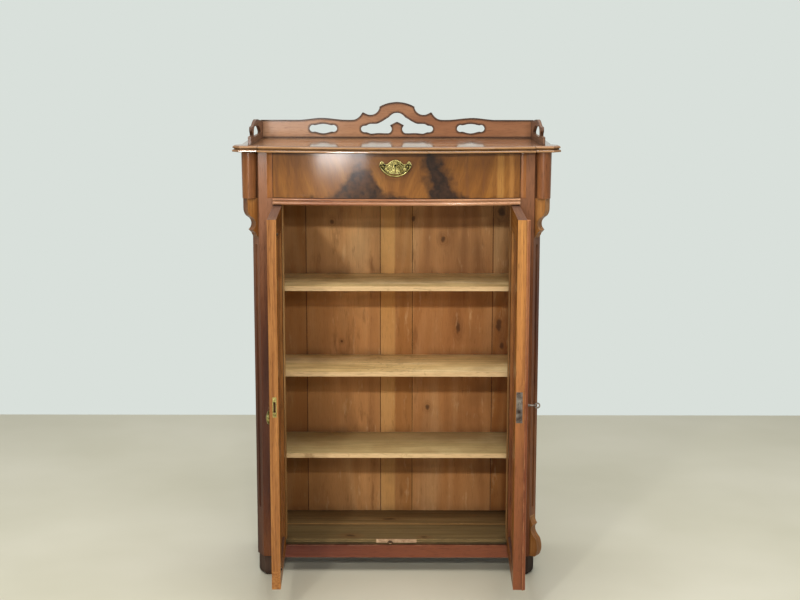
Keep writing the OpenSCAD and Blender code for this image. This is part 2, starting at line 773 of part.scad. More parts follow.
module drawer_lock_bolt() {
    color("silver") box(handle_x - lock_bolt_w / 2, handle_x + lock_bolt_w / 2, bolt_mid_y - lock_bolt_t / 2,
                        bolt_mid_y + lock_bolt_t / 2, drawer_high - lock_bolt_l - 1, drawer_high - 1);
}

side_low = runner_top + slide;
groove_up = 8;
groove_d = 5;
box_y = front_y + front_t;

module drawer_sides() {
    color("burlywood") both_sides() difference() {
        box(box_x - drawer_side_t, box_x, box_y, box_y + drawer_box_l, side_low, side_low + drawer_side_h);
        box(box_x - drawer_side_t - over, box_x - drawer_side_t + groove_d + fit, box_y - over,
            box_y + drawer_box_l + over, side_low + groove_up - fit, side_low + groove_up + drawer_bottom_t + fit);
    }
}

module drawer_bottom() {
    x = box_x - drawer_side_t + groove_d;
    color("burlywood") box(-x, x, box_y, box_y + drawer_box_l, side_low + groove_up,
                           side_low + groove_up + drawer_bottom_t);
}

module drawer_back() {
    x = box_x - drawer_side_t;
    color("burlywood") box(-x, x, box_y + drawer_box_l - drawer_back_t, box_y + drawer_box_l,
                           side_low + groove_up + drawer_bottom_t, side_low + drawer_side_h - 6);
}

// Handle: a pierced cast plate with a fan, two posts and a hanging bail
plate_face = front_y - bow - fit - plate_t;
pivot_z = drawer_low + handle_up;
pivot_y = plate_face - 6.6;

function plate_outline() =
    let (w = plate_w / 2, h = plate_h / 2,
         half = [[0.27 * w, 0.80 * h], [0.42 * w, 0.54 * h], [0.54 * w, 0.40 * h], [0.68 * w, 0.47 * h],
                 [0.78 * w, 0.73 * h], [0.87 * w, 0.80 * h], [0.96 * w, 0.50 * h], [w, 0.14 * h],
                 [0.91 * w, -0.13 * h], [0.78 * w, -0.32 * h], [0.57 * w, -0.66 * h], [0.33 * w, -0.86 * h]])
    round_through(concat([[0, h]], half, [[0, -0.92 * h]], flip(half)), 3);

post_r = 4.2;

// A rounded rib on the plate from a to b, half sunk in its face
module plate_rib(a, b, r) {
    hull() for (p = [a, b]) translate([p[0], plate_face, p[1]]) scale([1, 0.8, 1]) sphere(r = r, $fn = 20);
}

// The plate has a raised rim and ribs that spread like a shell on both sides of its keyhole
module handle_plate() {
    mid_z = pivot_z - 2.5;
    rim_w = 2;
    rim_h = 1.4;
    color("darkgoldenrod") difference() {
        union() {
            translate([handle_x, 0, 0]) upright(plate_outline(), plate_face, plate_t, mid_z);
            translate([handle_x, plate_face + 0.4, mid_z]) rotate([90, 0, 0]) linear_extrude(rim_h + 0.4)
                difference() {
                    polygon(plate_outline());
                    offset(delta = -rim_w) polygon(plate_outline());
                }
            translate([handle_x, 0, mid_z]) both_sides() {
                plate_rib([8, 14.5], [23, -0.5], 1.9);
                plate_rib([8.6, 5.6], [20.6, -6], 1.9);
                plate_rib([9.2, -3], [16, -10], 1.7);
                plate_rib([5, 10.5], [5, -2], 1.6);
                plate_rib([6, -15], [8, -15], 2);
                plate_rib([27, 4], [31, -1], 1.6);
            }
            for (s = [-1, 1]) translate([handle_x + s * handle_span / 2, plate_face + 0.4, pivot_z])
                rotate([90, 0, 0]) {
                    cylinder(r = post_r + 1.6, h = 1.6);
                    cylinder(r = post_r, h = plate_face + 0.4 - pivot_y);
                    translate([0, 0, plate_face + 0.4 - pivot_y]) sphere(r = post_r);
                }
        }
        for (s = [-1, 1]) translate([handle_x + s * handle_span / 2, pivot_y, pivot_z])
            rotate([0, 90, 0]) cylinder(r = bail_r - 0.6 + run, h = 4 * post_r, center = true);
        translate([handle_x, 0, drawer_key_z]) keyhole(3, 2.6, 23, plate_face - 4, plate_face + plate_t + over);
    }
}

module handle_bail() {
    w = handle_span / 2 + post_r + bail_r + 1.7;
    pin_l = w - handle_span / 2 + post_r - 0.2;
    r = (w * w + bail_drop * bail_drop) / (2 * bail_drop);
    a = asin(w / r);
    color("darkgoldenrod") translate([handle_x, pivot_y, pivot_z]) union() {
        translate([0, 0, r - bail_drop]) rotate([90, 0, 0]) rotate([0, 0, -90 - a])
            rotate_extrude(angle = 2 * a, $fn = 96) translate([r, 0]) circle(r = bail_r, $fn = 32);
        for (s = [-1, 1]) {
            translate([s * w, 0, 0]) sphere(r = bail_r + 0.4, $fn = 32);
            translate([s * (w - pin_l), 0, 0]) rotate([0, s * 90, 0]) cylinder(r = bail_r - 0.6, h = pin_l);
        }
    }
}

// Doors, drawn closed about their pins: +X to the free edge, +Y inwards

module at_left_door() {
    translate([-pin_x, front_y + pin_y, 0]) rotate([0, 0, -left_open]) children();
}

module at_right_door() {
    translate([pin_x, front_y + pin_y, 0]) rotate([0, 0, right_open]) mirror([1, 0, 0]) children();
}

face = -pin_inset;
inner = door_t - pin_inset;
bush_r = pin_r + run + 1.4;
bush_l = pin_l + 1.5;
frame_low = door_low + door_bottom_rail_h;
frame_high = door_high - door_top_rail_h;
tongue = 7;
groove = 8;
panel_y = face + panel_back;
key_z = door_low + key_up;

// The outer corner of the hinge edge is round about the pin
module hinge_edge(x1, z0, z1) {
    difference() {
        union() {
            box(0, x1, face, inner, z0, z1);
            box(-pin_inset, over, 0, inner, z0, z1);
            translate([0, 0, z0]) cylinder(r = pin_inset, h = z1 - z0);
        }
        for (z = [door_low - over, door_high - bush_l])
            translate([0, 0, z]) cylinder(r = bush_r + fit, h = bush_l + over);
    }
}

module panel_groove(x0, x1, z0, z1) {
    box(x0, x1, panel_y - fit, panel_y + panel_t + fit, z0, z1);
}

module hinge_stile() {
    x1 = door_stile_w - pin_inset;
    difference() {
        hinge_edge(x1, frame_low, door_high);
        panel_groove(x1 - groove, x1 + over, frame_low - over, frame_high + groove);
    }
}

module meeting_stile_blank() {
    x0 = leaf - door_stile_w;
    difference() {
        box(x0, leaf, face, inner, frame_low, door_high);
        panel_groove(x0 - over, x0 + groove, frame_low - over, frame_high + groove);
    }
}

module door_top_rail() {
    x0 = door_stile_w - pin_inset;
    difference() {
        box(x0, leaf - door_stile_w, face, inner, frame_high, door_high);
        panel_groove(x0 - over, leaf, frame_high - over, frame_high + groove);
    }
}

module door_bottom_rail_blank() {
    difference() {
        hinge_edge(leaf, door_low, frame_low);
        panel_groove(door_stile_w - pin_inset - groove, leaf - door_stile_w + groove, frame_low - groove,
                     frame_low + over);
    }
}

module door_panel() {
    box(door_stile_w - pin_inset - tongue, leaf - door_stile_w + tongue, panel_y, panel_y + panel_t,
        frame_low - tongue, frame_high + tongue);
}

// Mitred moulding between the frame's face and the panel
module door_moulding() {
    x0 = door_stile_w - pin_inset;
    x1 = leaf - door_stile_w;
    outline = [[x0, frame_low], [x1, frame_low], [x1, frame_high], [x0, frame_high]];
    w = moulding_w;
    d = panel_back;
    proud = 2.5;
    translate([0, panel_y, 0]) rotate([90, 0, 0]) difference() {
        ring_stack(outline, [[0, 0], [0, d], [-3, d], [-3, d + proud - 1], [-2, d + proud], [w, d + proud]]);
        ring_stack(outline, [[w, -over], [w, 1], [w - 2, 1], [w - 2.6, 2.6], [w - 4.6, 4.2], [w - 6, 5],
                             [w - 6, 6.2], [w - 8.4, 7.4], [w - 10, 9], [w - 11.4, d + proud], [w - 11.4, d + proud + over]]);
    }
}

module bushes() {
    for (z = [door_low, door_high - bush_l])
        translate([0, 0, z]) difference() {
            cylinder(r = bush_r, h = bush_l);
            translate([0, 0, -over]) cylinder(r = pin_r + run, h = bush_l + 2 * over);
        }
}

// The bolts are let into the inner face of the left door near its free edge.
// Each is drawn pointing down with its lower end at z; the upper one is turned over.
bolt_plate_w = 16;
bolt_plate_l = 58;
bolt_plate_t = 1.6;
rod_l = 56;
rod_local_y = inner - rod_deep;
knob_up = 42;
knob_r = 2.2;
low_rod_z = keeper_top + 1.2;
high_rod_z = door_low + 0.5;

module knob_slot(z, c, y0, y1) {
    box(leaf - rod_in - knob_r - c, leaf - rod_in + knob_r + c, y0, y1,
        z + knob_up - rod_throw - knob_r - 1, z + knob_up + knob_r + 1);
}

module bolt_plate(z, c) {
    difference() {
        box(leaf - rod_in - bolt_plate_w / 2 - c, leaf - rod_in + bolt_plate_w / 2 + c, inner - bolt_plate_t - c,
            inner + (c > 0 ? over : 0), z + 4 - c, z + 4 + bolt_plate_l + c);
        if (c == 0) knob_slot(z, slide, inner - bolt_plate_t - over, inner + over);
    }
}

module rod_bore(z) {
    translate([leaf - rod_in, rod_local_y, door_low - over])
        cylinder(r = rod_r + slide, h = z + rod_l + 2 - door_low + over);
    knob_slot(z, 2 * slide, rod_local_y, inner);
}

module rod(z) {
    translate([leaf - rod_in, rod_local_y, z]) cylinder(r = rod_r, h = rod_l);
    translate([leaf - rod_in, rod_local_y, z + knob_up]) rotate([-90, 0, 0]) {
        cylinder(r = knob_r, h = rod_deep + 1);
        translate([0, 0, rod_deep + 0.6]) cylinder(r = knob_r + 1.6, h = 2.8);
    }
}

// Room for the keeper in the lower edge of the left door
module keeper_recess() {
    box(leaf - rod_in - keeper_r - over, leaf - rod_in + keeper_r + over, rod_local_y - keeper_r - 1.5,
        inner + over, door_low - over, keeper_top + 0.6);
}

// Turns the lower bolt's pieces over for the upper bolt
module at_door_top() {
    translate([0, 0, door_low + door_high]) mirror([0, 0, 1]) children();
}

strike_t = 2;
strike_h = 57;
strike_w = 11;
bolt_y = face + (door_t - 6) / 2 + 1.9;

module strike_solid(c) {
    box(leaf - strike_t - c, leaf + (c > 0 ? over : 0), bolt_y - strike_w / 2 + 3 - c, bolt_y + strike_w / 2 + 3 + c,
        key_z - strike_h / 2 - c, key_z + strike_h / 2 + c);
}

module strike_mortise() {
    box(leaf - lock_throw - 3, leaf + over, bolt_y - slide, bolt_y + lock_bolt_thick + slide,
        key_z - lock_bolt_h / 2 - 2 * slide, key_z + lock_bolt_h / 2 + 2 * slide);
}

module left_door_hinge_stile() { color("peru") at_left_door() hinge_stile(); }

module left_door_meeting_stile() {
    color("peru") at_left_door() difference() {
        meeting_stile_blank();
        strike_solid(fit);
        strike_mortise();
        bolt_plate(low_rod_z, fit);
        rod_bore(low_rod_z);
        at_door_top() {
            bolt_plate(high_rod_z, fit);
            rod_bore(high_rod_z);
        }
    }
}

module left_door_top_rail() { color("peru") at_left_door() door_top_rail(); }

module left_door_bottom_rail() {
    color("peru") at_left_door() difference() {
        door_bottom_rail_blank();
        bolt_plate(low_rod_z, fit);
        rod_bore(low_rod_z);
        keeper_recess();
    }
}

module left_door_panel() { color("chocolate") at_left_door() door_panel(); }
module left_door_moulding() { color("sienna") at_left_door() door_moulding(); }

// Bushes, strike plate and the plates of the two bolts
module left_door_fittings() {
    color("darkgoldenrod") at_left_door() {
        bushes();
        difference() {
            strike_solid(0);
            strike_mortise();
        }
        bolt_plate(low_rod_z, 0);
        at_door_top() bolt_plate(high_rod_z, 0);
    }
}

module left_door_upper_bolt() { color("silver") at_left_door() at_door_top() rod(high_rod_z); }
module left_door_lower_bolt() { color("silver") at_left_door() rod(low_rod_z); }

// Cast escutcheon: a waisted plate with a raised drop below the keyhole
module escutcheon(pierced) {
    h = 76;
    w = 24;
    t = 1.6;
    lobe_r = 8;
    lobe_out = 11.5;
    translate([leaf - backset, face, key_z - 24]) difference() {
        union() {
            translate([0, 0, 0]) rotate([90, 0, 0]) linear_extrude(t) polygon(round_through([
                [0, h / 2], [0.26 * w, 0.42 * h], [0.20 * w, 0.33 * h], [0.5 * w, 0.22 * h], [0.40 * w, 0.06 * h],
                [0.46 * w, -0.10 * h], [0.30 * w, -0.28 * h], [0.16 * w, -0.40 * h], [0, -h / 2],
                [-0.16 * w, -0.40 * h], [-0.30 * w, -0.28 * h], [-0.46 * w, -0.10 * h], [-0.40 * w, 0.06 * h],
                [-0.5 * w, 0.22 * h], [-0.20 * w, 0.33 * h], [-0.26 * w, 0.42 * h]], 3));
            intersection() {
                translate([0, lobe_r - lobe_out, -10]) rotate_extrude() polygon(through([
                    [0, -22], [4.4, -18], [0.92 * lobe_r, -8], [lobe_r, 1], [0.6 * lobe_r, 12], [0, 20]], 4));
                box(-lobe_r, lobe_r, -lobe_out, 0, -h / 2, h / 2);
            }
        }
        if (pierced)
            translate([0, 0, 24]) keyhole(key_r + 0.6, 2.6, 9, -2 * lobe_out, over);
    }
}

module left_door_escutcheon() { color("goldenrod") at_left_door() escutcheon(false); }
module right_door_escutcheon() { color("goldenrod") at_right_door() escutcheon(true); }

// Right door's lock: case, forend, bolt and key
case_w = 45;
case_h = 70;
case_y0 = bolt_y - 4;
case_y1 = bolt_y + lock_bolt_thick + 3;
forend_t = 2.5;
bit_r = 7;
bolt_head_l = 14;
tail_h = 6;
tail_l = 25;
key_x = leaf - backset;

module lock_body(c) {
    box(leaf - case_w - c, leaf - forend_t, case_y0 - c, case_y1 + c, key_z - case_h / 2 - c, key_z + case_h / 2 + c);
    box(leaf - forend_t - c, leaf + (c > 0 ? over : 0), bolt_y + lock_bolt_thick / 2 - forend_w / 2 - c,
        bolt_y + lock_bolt_thick / 2 + forend_w / 2 + c, key_z - forend_h / 2 - c, key_z + forend_h / 2 + c);
}

module bolt_shape(c) {
    top = key_z + lock_bolt_h / 2;
    box(leaf - bolt_head_l - c, leaf - 0.5, bolt_y - c, bolt_y + lock_bolt_thick + c,
        key_z - lock_bolt_h / 2 - c, top + c);
    box(leaf - bolt_head_l - tail_l - c, leaf - bolt_head_l, bolt_y - c, bolt_y + lock_bolt_thick + c,
        top - tail_h - c, top + c);
}

module right_door_lock() {
    color("dimgray") at_right_door() difference() {
        lock_body(0);
        for (x = [0, lock_throw, 2 * lock_throw]) translate([x, 0, 0]) bolt_shape(slide);
        translate([key_x, case_y0 + 1.5, key_z]) rotate([-90, 0, 0])
            cylinder(r = bit_r + 0.8, h = case_y1 - case_y0 - 3);
        translate([key_x, 0, key_z]) keyhole(key_r + run, 2.4, bit_r + 1, case_y0 - over, case_y0 + 3);
    }
}

module right_door_lock_bolt() { color("silver") at_right_door() bolt_shape(0); }

module right_door_hinge_stile() { color("peru") at_right_door() hinge_stile(); }

module right_door_meeting_stile() {
    color("peru") at_right_door() difference() {
        meeting_stile_blank();
        lock_body(fit);
        translate([key_x, 0, key_z]) keyhole(key_r + 0.6, 3, bit_r + 2, face - over, case_y0 + over);
    }
}

module right_door_top_rail() { color("peru") at_right_door() door_top_rail(); }
module right_door_bottom_rail() { color("peru") at_right_door() door_bottom_rail_blank(); }
module right_door_panel() { color("chocolate") at_right_door() door_panel(); }
module right_door_moulding() { color("sienna") at_right_door() door_moulding(); }
module right_door_bushes() { color("dimgray") at_right_door() bushes(); }

// Half-round astragal that covers the joint between the doors
module right_door_astragal() {
    flat = 2.5;
    r = ((astragal_w / 2 - flat) * (astragal_w / 2 - flat) + astragal_out * astragal_out) / (2 * astragal_out);
    color("peru") at_right_door() translate([leaf + astragal_lap - astragal_w / 2, face, door_low])
        linear_extrude(door_high - door_low) polygon(concat(
            [[-astragal_w / 2, 0], [-astragal_w / 2, -2.6]],
            [for (i = [0:14]) let (x = -(astragal_w / 2 - flat) + (astragal_w - 2 * flat) * i / 14)
                [x, -3 - (astragal_out - 3) * sqrt(max(0, 1 - pow(x / (astragal_w / 2 - flat), 2)))]],
            [[astragal_w / 2, -2.6], [astragal_w / 2, -slide],
             [astragal_w / 2 - astragal_lap, -slide], [astragal_w / 2 - astragal_lap, 0]]));
}

module door_key() {
    ring_t = 3;
    ring_in = 4.6;
    out = 37;
    collar = 4;
    color("#3a3a34") at_right_door() translate([key_x, 0, key_z]) difference() {
        union() {
            translate([0, face - out, 0]) rotate([-90, 0, 0]) cylinder(r = key_r, h = out + case_y1 - 3 - face);
            translate([0, face - 15, 0]) rotate([-90, 0, 0]) cylinder(r = collar, h = 3);
            box(-1.1, 1.1, case_y0 + 3.4, case_y1 - 3.4, -bit_r, 0);
            translate([0, face - out, 0]) rotate([0, 90, 0]) cylinder(r = ring_r, h = ring_t, center = true);
        }
        translate([0, face - out, 0]) rotate([0, 90, 0]) cylinder(r = ring_in, h = 2 * ring_t, center = true);
    }
}

side_left();
side_right();
corner_post_left();
corner_post_right();
column_left();
column_right();
upper_bracket_left();
upper_bracket_right();
lower_bracket_right();
feet_front();
feet_rear();
plinth_rail();
bottom_boards();
sill_strip();
drawer_rail();
rail_bead();
top_cross_rails();
drawer_runners();
shelf_upper();
shelf_middle();
shelf_lower();
shelf_battens();
stop_battens();
back_boards();
top_board();
gallery_back();
gallery_left();
gallery_right();
hinge_plates();
drawer_front();
drawer_sides();
drawer_back();
drawer_bottom();
drawer_lock();
drawer_lock_bolt();
handle_plate();
handle_bail();
left_door_hinge_stile();
left_door_meeting_stile();
left_door_top_rail();
left_door_bottom_rail();
left_door_panel();
left_door_moulding();
left_door_fittings();
left_door_escutcheon();
left_door_upper_bolt();
left_door_lower_bolt();
right_door_hinge_stile();
right_door_meeting_stile();
right_door_top_rail();
right_door_bottom_rail();
right_door_panel();
right_door_moulding();
right_door_bushes();
right_door_astragal();
right_door_escutcheon();
right_door_lock();
right_door_lock_bolt();
door_key();
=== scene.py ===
# %% [markdown]
# # A two-door cupboard with a bowed drawer
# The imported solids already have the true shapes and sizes. This lesson gives them their finishes, adds the
# small things that are too fine for the solids, and sets the camera, the floor and the light.

# %% Load the frame
import bpy
import bmesh
import math
from mathutils import Matrix, Vector
from mathutils.bvhtree import BVHTree


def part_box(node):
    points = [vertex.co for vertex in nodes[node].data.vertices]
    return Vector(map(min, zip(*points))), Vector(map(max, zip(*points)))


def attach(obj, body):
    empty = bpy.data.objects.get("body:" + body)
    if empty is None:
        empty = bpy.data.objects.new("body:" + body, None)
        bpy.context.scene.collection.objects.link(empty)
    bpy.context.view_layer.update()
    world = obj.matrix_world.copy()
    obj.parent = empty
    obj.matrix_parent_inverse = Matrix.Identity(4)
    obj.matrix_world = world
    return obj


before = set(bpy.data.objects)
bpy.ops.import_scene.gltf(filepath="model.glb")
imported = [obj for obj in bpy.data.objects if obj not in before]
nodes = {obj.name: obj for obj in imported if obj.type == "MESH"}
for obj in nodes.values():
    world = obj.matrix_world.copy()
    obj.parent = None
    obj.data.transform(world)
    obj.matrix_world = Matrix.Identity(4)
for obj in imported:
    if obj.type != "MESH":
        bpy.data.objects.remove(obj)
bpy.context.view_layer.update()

# %% [markdown]
# Node trees are long to write by hand, so a few small helpers do the wiring. `feed` fills the sockets of a
# node, either with a value or with a wire from another node, and `put` makes a node, sets its options and
# feeds it. The others are the sums, mixes and ramps that every finish below needs.

# %% Helpers for shader nodes
def feed(tree, node, feeds):
    for socket, value in feeds.items():
        target = node.inputs[socket]
        if isinstance(value, bpy.types.NodeSocket):
            tree.links.new(value, target)
        else:
            target.default_value = value


def put(tree, kind, feeds=None, **options):
    made = tree.nodes.new(kind)
    for name, value in options.items():
        setattr(made, name, value)
    feed(tree, made, feeds or {})
    return made


def sums(tree, how, a, b=0.5, clamp=False):
    made = put(tree, "ShaderNodeMath", {0: a, 1: b}, operation=how)
    made.use_clamp = clamp
    return made.outputs[0]


def times(tree, a, b, clamp=False):
    return sums(tree, "MULTIPLY", a, b, clamp)


def vectors(tree, how, a, b):
    return put(tree, "ShaderNodeVectorMath", {0: a, 1: b}, operation=how).outputs[0]


def spread(tree, value, low, high, to_low=0.0, to_high=1.0):
    """Bring a range of values to another range. A turned range, from high to low, turns the mask."""
    made = put(tree, "ShaderNodeMapRange", {"Value": value, "From Min": low, "From Max": high,
                                            "To Min": to_low, "To Max": to_high})
    return made.outputs[0]


def ramp(tree, factor, stops, how="LINEAR"):
    made = put(tree, "ShaderNodeValToRGB", {0: factor})
    made.color_ramp.interpolation = how
    while len(made.color_ramp.elements) < len(stops):
        made.color_ramp.elements.new(0.5)
    for step, (place, value) in zip(made.color_ramp.elements, stops):
        step.position = place
        step.color = value
    return made.outputs[0]


def noise(tree, place, scale, detail=3.0, rough=0.5):
    made = put(tree, "ShaderNodeTexNoise", {"Vector": place, "Scale": scale, "Detail": detail,
                                            "Roughness": rough})
    return made.outputs[0]


# %% [markdown]
# A colour is written as it would be picked from a screen, in steps of 0 to 255. `shade` turns it into the
# linear colour that the shader wants. `stain` brings a tone over a colour where a mask says so, which is
# how nearly every mark on this cupboard is made.

# %% Helpers for colours
def shade(r, g, b):
    def linear(c):
        c = c / 255
        return c / 12.92 if c <= 0.04045 else ((c + 0.055) / 1.055) ** 2.4
    return (linear(r), linear(g), linear(b), 1.0)


def deeper(tone, share):
    return tuple(c * share for c in shade(*tone)[:3]) + (1.0,)


def blend(tree, factor, a, b):
    return put(tree, "ShaderNodeMix", {0: factor, 6: a, 7: b}, data_type="RGBA").outputs[2]


def stain(tree, colour, tone, mask, share):
    """The tone is a picked colour or a wire."""
    if isinstance(tone, tuple):
        tone = shade(*tone)
    return blend(tree, times(tree, mask, share), colour, tone)


print("a mid brown is", [round(c, 3) for c in shade(150, 95, 50)])

# %% [markdown]
# Wood is a bundle of tubes. Seen along the board it shows broad soft bands, growth rings cut at a slant,
# fine streaks and short dark pores. One group makes all four from a place whose Z runs along the grain, so
# that each board only has to turn its place before it comes in. Squeezing Z draws the noise out into
# streaks. A wave texture would give rings at even distances, like corduroy. Here the rings are the contour
# lines of a soft noise, so they crowd and open as they do in a sawn board.

# %% Group: grain of wood
def open_group(name, inputs, outputs):
    tree = bpy.data.node_groups.new(name, "ShaderNodeTree")
    for label, value in inputs.items():
        kind = "NodeSocketVector" if value is None else "NodeSocketFloat"
        socket = tree.interface.new_socket(label, in_out="INPUT", socket_type=kind)
        if value is not None:
            socket.default_value = value
    for label in outputs:
        tree.interface.new_socket(label, in_out="OUTPUT", socket_type="NodeSocketFloat")
    return tree, put(tree, "NodeGroupInput").outputs


def grain_group():
    tree, given = open_group(
        "Grain of wood",
        {"Place": None, "Board": 0.0, "Figure Size": 9.0, "Ring Count": 14.0, "Wander": 0.02},
        ["Figure", "Rings", "Streaks", "Pores"])
    shift = put(tree, "ShaderNodeCombineXYZ", {"X": times(tree, given["Board"], 3.17),
                                               "Y": times(tree, given["Board"], 1.73),
                                               "Z": times(tree, given["Board"], 5.31)})
    place = vectors(tree, "ADD", given["Place"], shift.outputs[0])
    slow = vectors(tree, "MULTIPLY", place, (1.0, 1.0, 0.35))
    drift = put(tree, "ShaderNodeTexNoise", {"Vector": slow, "Scale": 5.0, "Detail": 2.0})
    off = vectors(tree, "SUBTRACT", drift.outputs["Color"], (0.5, 0.5, 0.5))
    push = put(tree, "ShaderNodeVectorMath", {0: off, "Scale": given["Wander"]}, operation="SCALE")
    bent = vectors(tree, "ADD", place, push.outputs[0])

    def drawn_out(squeeze, scale, detail):
        return noise(tree, vectors(tree, "MULTIPLY", bent, (1.0, 1.0, squeeze)), scale, detail)

    hills = drawn_out(0.11, times(tree, given["Figure Size"], 0.7), 1.0)
    turns = times(tree, times(tree, hills, given["Ring Count"]), 6.283)
    put(tree, "NodeGroupOutput", {
        "Figure": spread(tree, drawn_out(0.16, given["Figure Size"], 3.0), 0.36, 0.64),
        "Rings": spread(tree, sums(tree, "SINE", turns), -1.0, 1.0),
        "Streaks": spread(tree, drawn_out(0.02, 150.0, 4.0), 0.32, 0.68),
        "Pores": spread(tree, drawn_out(0.035, 900.0, 1.0), 0.58, 0.7)})
    return tree


grain_of_wood = grain_group()
print(grain_of_wood.name, [s.name for s in grain_of_wood.interface.items_tree])

# %% [markdown]
# Old polish rubs through first on the edges, where hands and cloths pass. A Bevel node rounds the normal
# near an edge, so the angle between it and the true normal is a mask of the edges. Noise breaks it up for
# wear. The unbroken mask comes out as well: a sawn edge that has taken up stain shows as an even dark line.

# %% Group: worn edges
def edges_group():
    tree, given = open_group("Worn edges", {"Reach": 0.003, "Patches": 30.0}, ["Edge", "Line"])
    soft = put(tree, "ShaderNodeBevel", {"Radius": given["Reach"]}, samples=6)
    true = put(tree, "ShaderNodeNewGeometry")
    alike = put(tree, "ShaderNodeVectorMath", {0: soft.outputs[0], 1: true.outputs["Normal"]},
                operation="DOT_PRODUCT").outputs["Value"]
    here = put(tree, "ShaderNodeTexCoord")
    patch = noise(tree, here.outputs["Object"], given["Patches"], 3.0)
    worn = times(tree, spread(tree, alike, 0.985, 0.8), spread(tree, patch, 0.38, 0.62))
    put(tree, "NodeGroupOutput", {"Edge": worn, "Line": spread(tree, alike, 0.9998, 0.993)})
    return tree


worn_edges = edges_group()

# %% [markdown]
# Wax, smoke and dust settle in corners that no cloth reaches, and shade falls there too. This group paints
# both at once, dirt and painted shade. Ambient occlusion finds the corners, and a cloudy noise keeps the
# darkening from being even.

# %% Group: dirt and painted shade in corners
def shade_and_dirt_group():
    tree, given = open_group("Shade And Dirt In Corners", {"Reach": 0.03, "Clouds": 14.0, "Full At": 0.35},
                             ["Shade And Dirt"])
    corner = put(tree, "ShaderNodeAmbientOcclusion", {"Distance": given["Reach"]}, samples=6)
    here = put(tree, "ShaderNodeTexCoord")
    cloud = noise(tree, here.outputs["Object"], given["Clouds"], 4.0)
    hollow = spread(tree, corner.outputs["AO"], 0.97, given["Full At"])
    put(tree, "NodeGroupOutput", {"Shade And Dirt": times(tree, hollow, spread(tree, cloud, 0.25, 0.6))})
    return tree


shade_and_dirt_in_corners = shade_and_dirt_group()

# %% [markdown]
# A knot is where a branch left the trunk: a dark round core, and round it a darker halo where the grain
# swings past. The group measures how far a place is from the knot's middle, stretched along the grain, and
# noise keeps the oval from being neat.

# %% Group: a knot
def knot_group():
    tree, given = open_group(
        "Knot", {"Place": None, "Across": 0.0, "Along": 0.0, "Size": 0.01, "Stretch": 1.6},
        ["Core", "Halo"])
    parts = put(tree, "ShaderNodeSeparateXYZ", {0: given["Place"]}).outputs
    length = times(tree, given["Size"], given["Stretch"])
    a = sums(tree, "DIVIDE", sums(tree, "SUBTRACT", parts["X"], given["Across"]), given["Size"])
    b = sums(tree, "DIVIDE", sums(tree, "SUBTRACT", parts["Z"], given["Along"]), length)
    far = sums(tree, "SQRT", sums(tree, "ADD", times(tree, a, a), times(tree, b, b)))
    ragged = spread(tree, noise(tree, given["Place"], 55.0, 2.0), 0.3, 0.7, -0.28, 0.28)
    rough_far = sums(tree, "ADD", far, ragged)
    ringed = spread(tree, sums(tree, "SINE", times(tree, rough_far, 7.0)), -1.0, 1.0, 0.5, 1.0)
    put(tree, "NodeGroupOutput", {"Core": spread(tree, rough_far, 1.15, 0.75),
                                  "Halo": times(tree, spread(tree, rough_far, 3.6, 0.8), ringed)})
    return tree


one_knot = knot_group()
print("groups", [g.name for g in bpy.data.node_groups])

# %% [markdown]
# Every wooden piece gets the same kind of finish: its grain turned the way the board was cut, a colour
# ramp from the dark to the light of that wood, worn edges, dirt with painted shade in the corners, and
# either bare wood or a thin polish. The polish is the shader's coat. Bump comes from the same pores and
# streaks as the colour, so that what looks like an open pore also catches the light like one. A `touch`
# may change the colour in some places before wear and dirt go on top, as on the real piece, and the
# painted corner shade with the dirt.

# %% A wooden finish
TURNS = {"up": (0.0, 0.0, 0.0), "across": (0.0, -math.pi / 2, 0.0), "deep": (math.pi / 2, 0.0, 0.0)}
EDGE_STAIN = (38, 22, 14)
DIRT_AND_SHADE = (34, 24, 18)
PORE_SHADE = 0.35
PORE_DEPTH = 0.7
STREAK_DEPTH = 0.3
DIRT_DULLS = 0.25


def new_material(name):
    material = bpy.data.materials.new(name)
    material.use_nodes = True
    tree = material.node_tree
    return material, tree, tree.nodes["Principled BSDF"], put(tree, "ShaderNodeTexCoord")


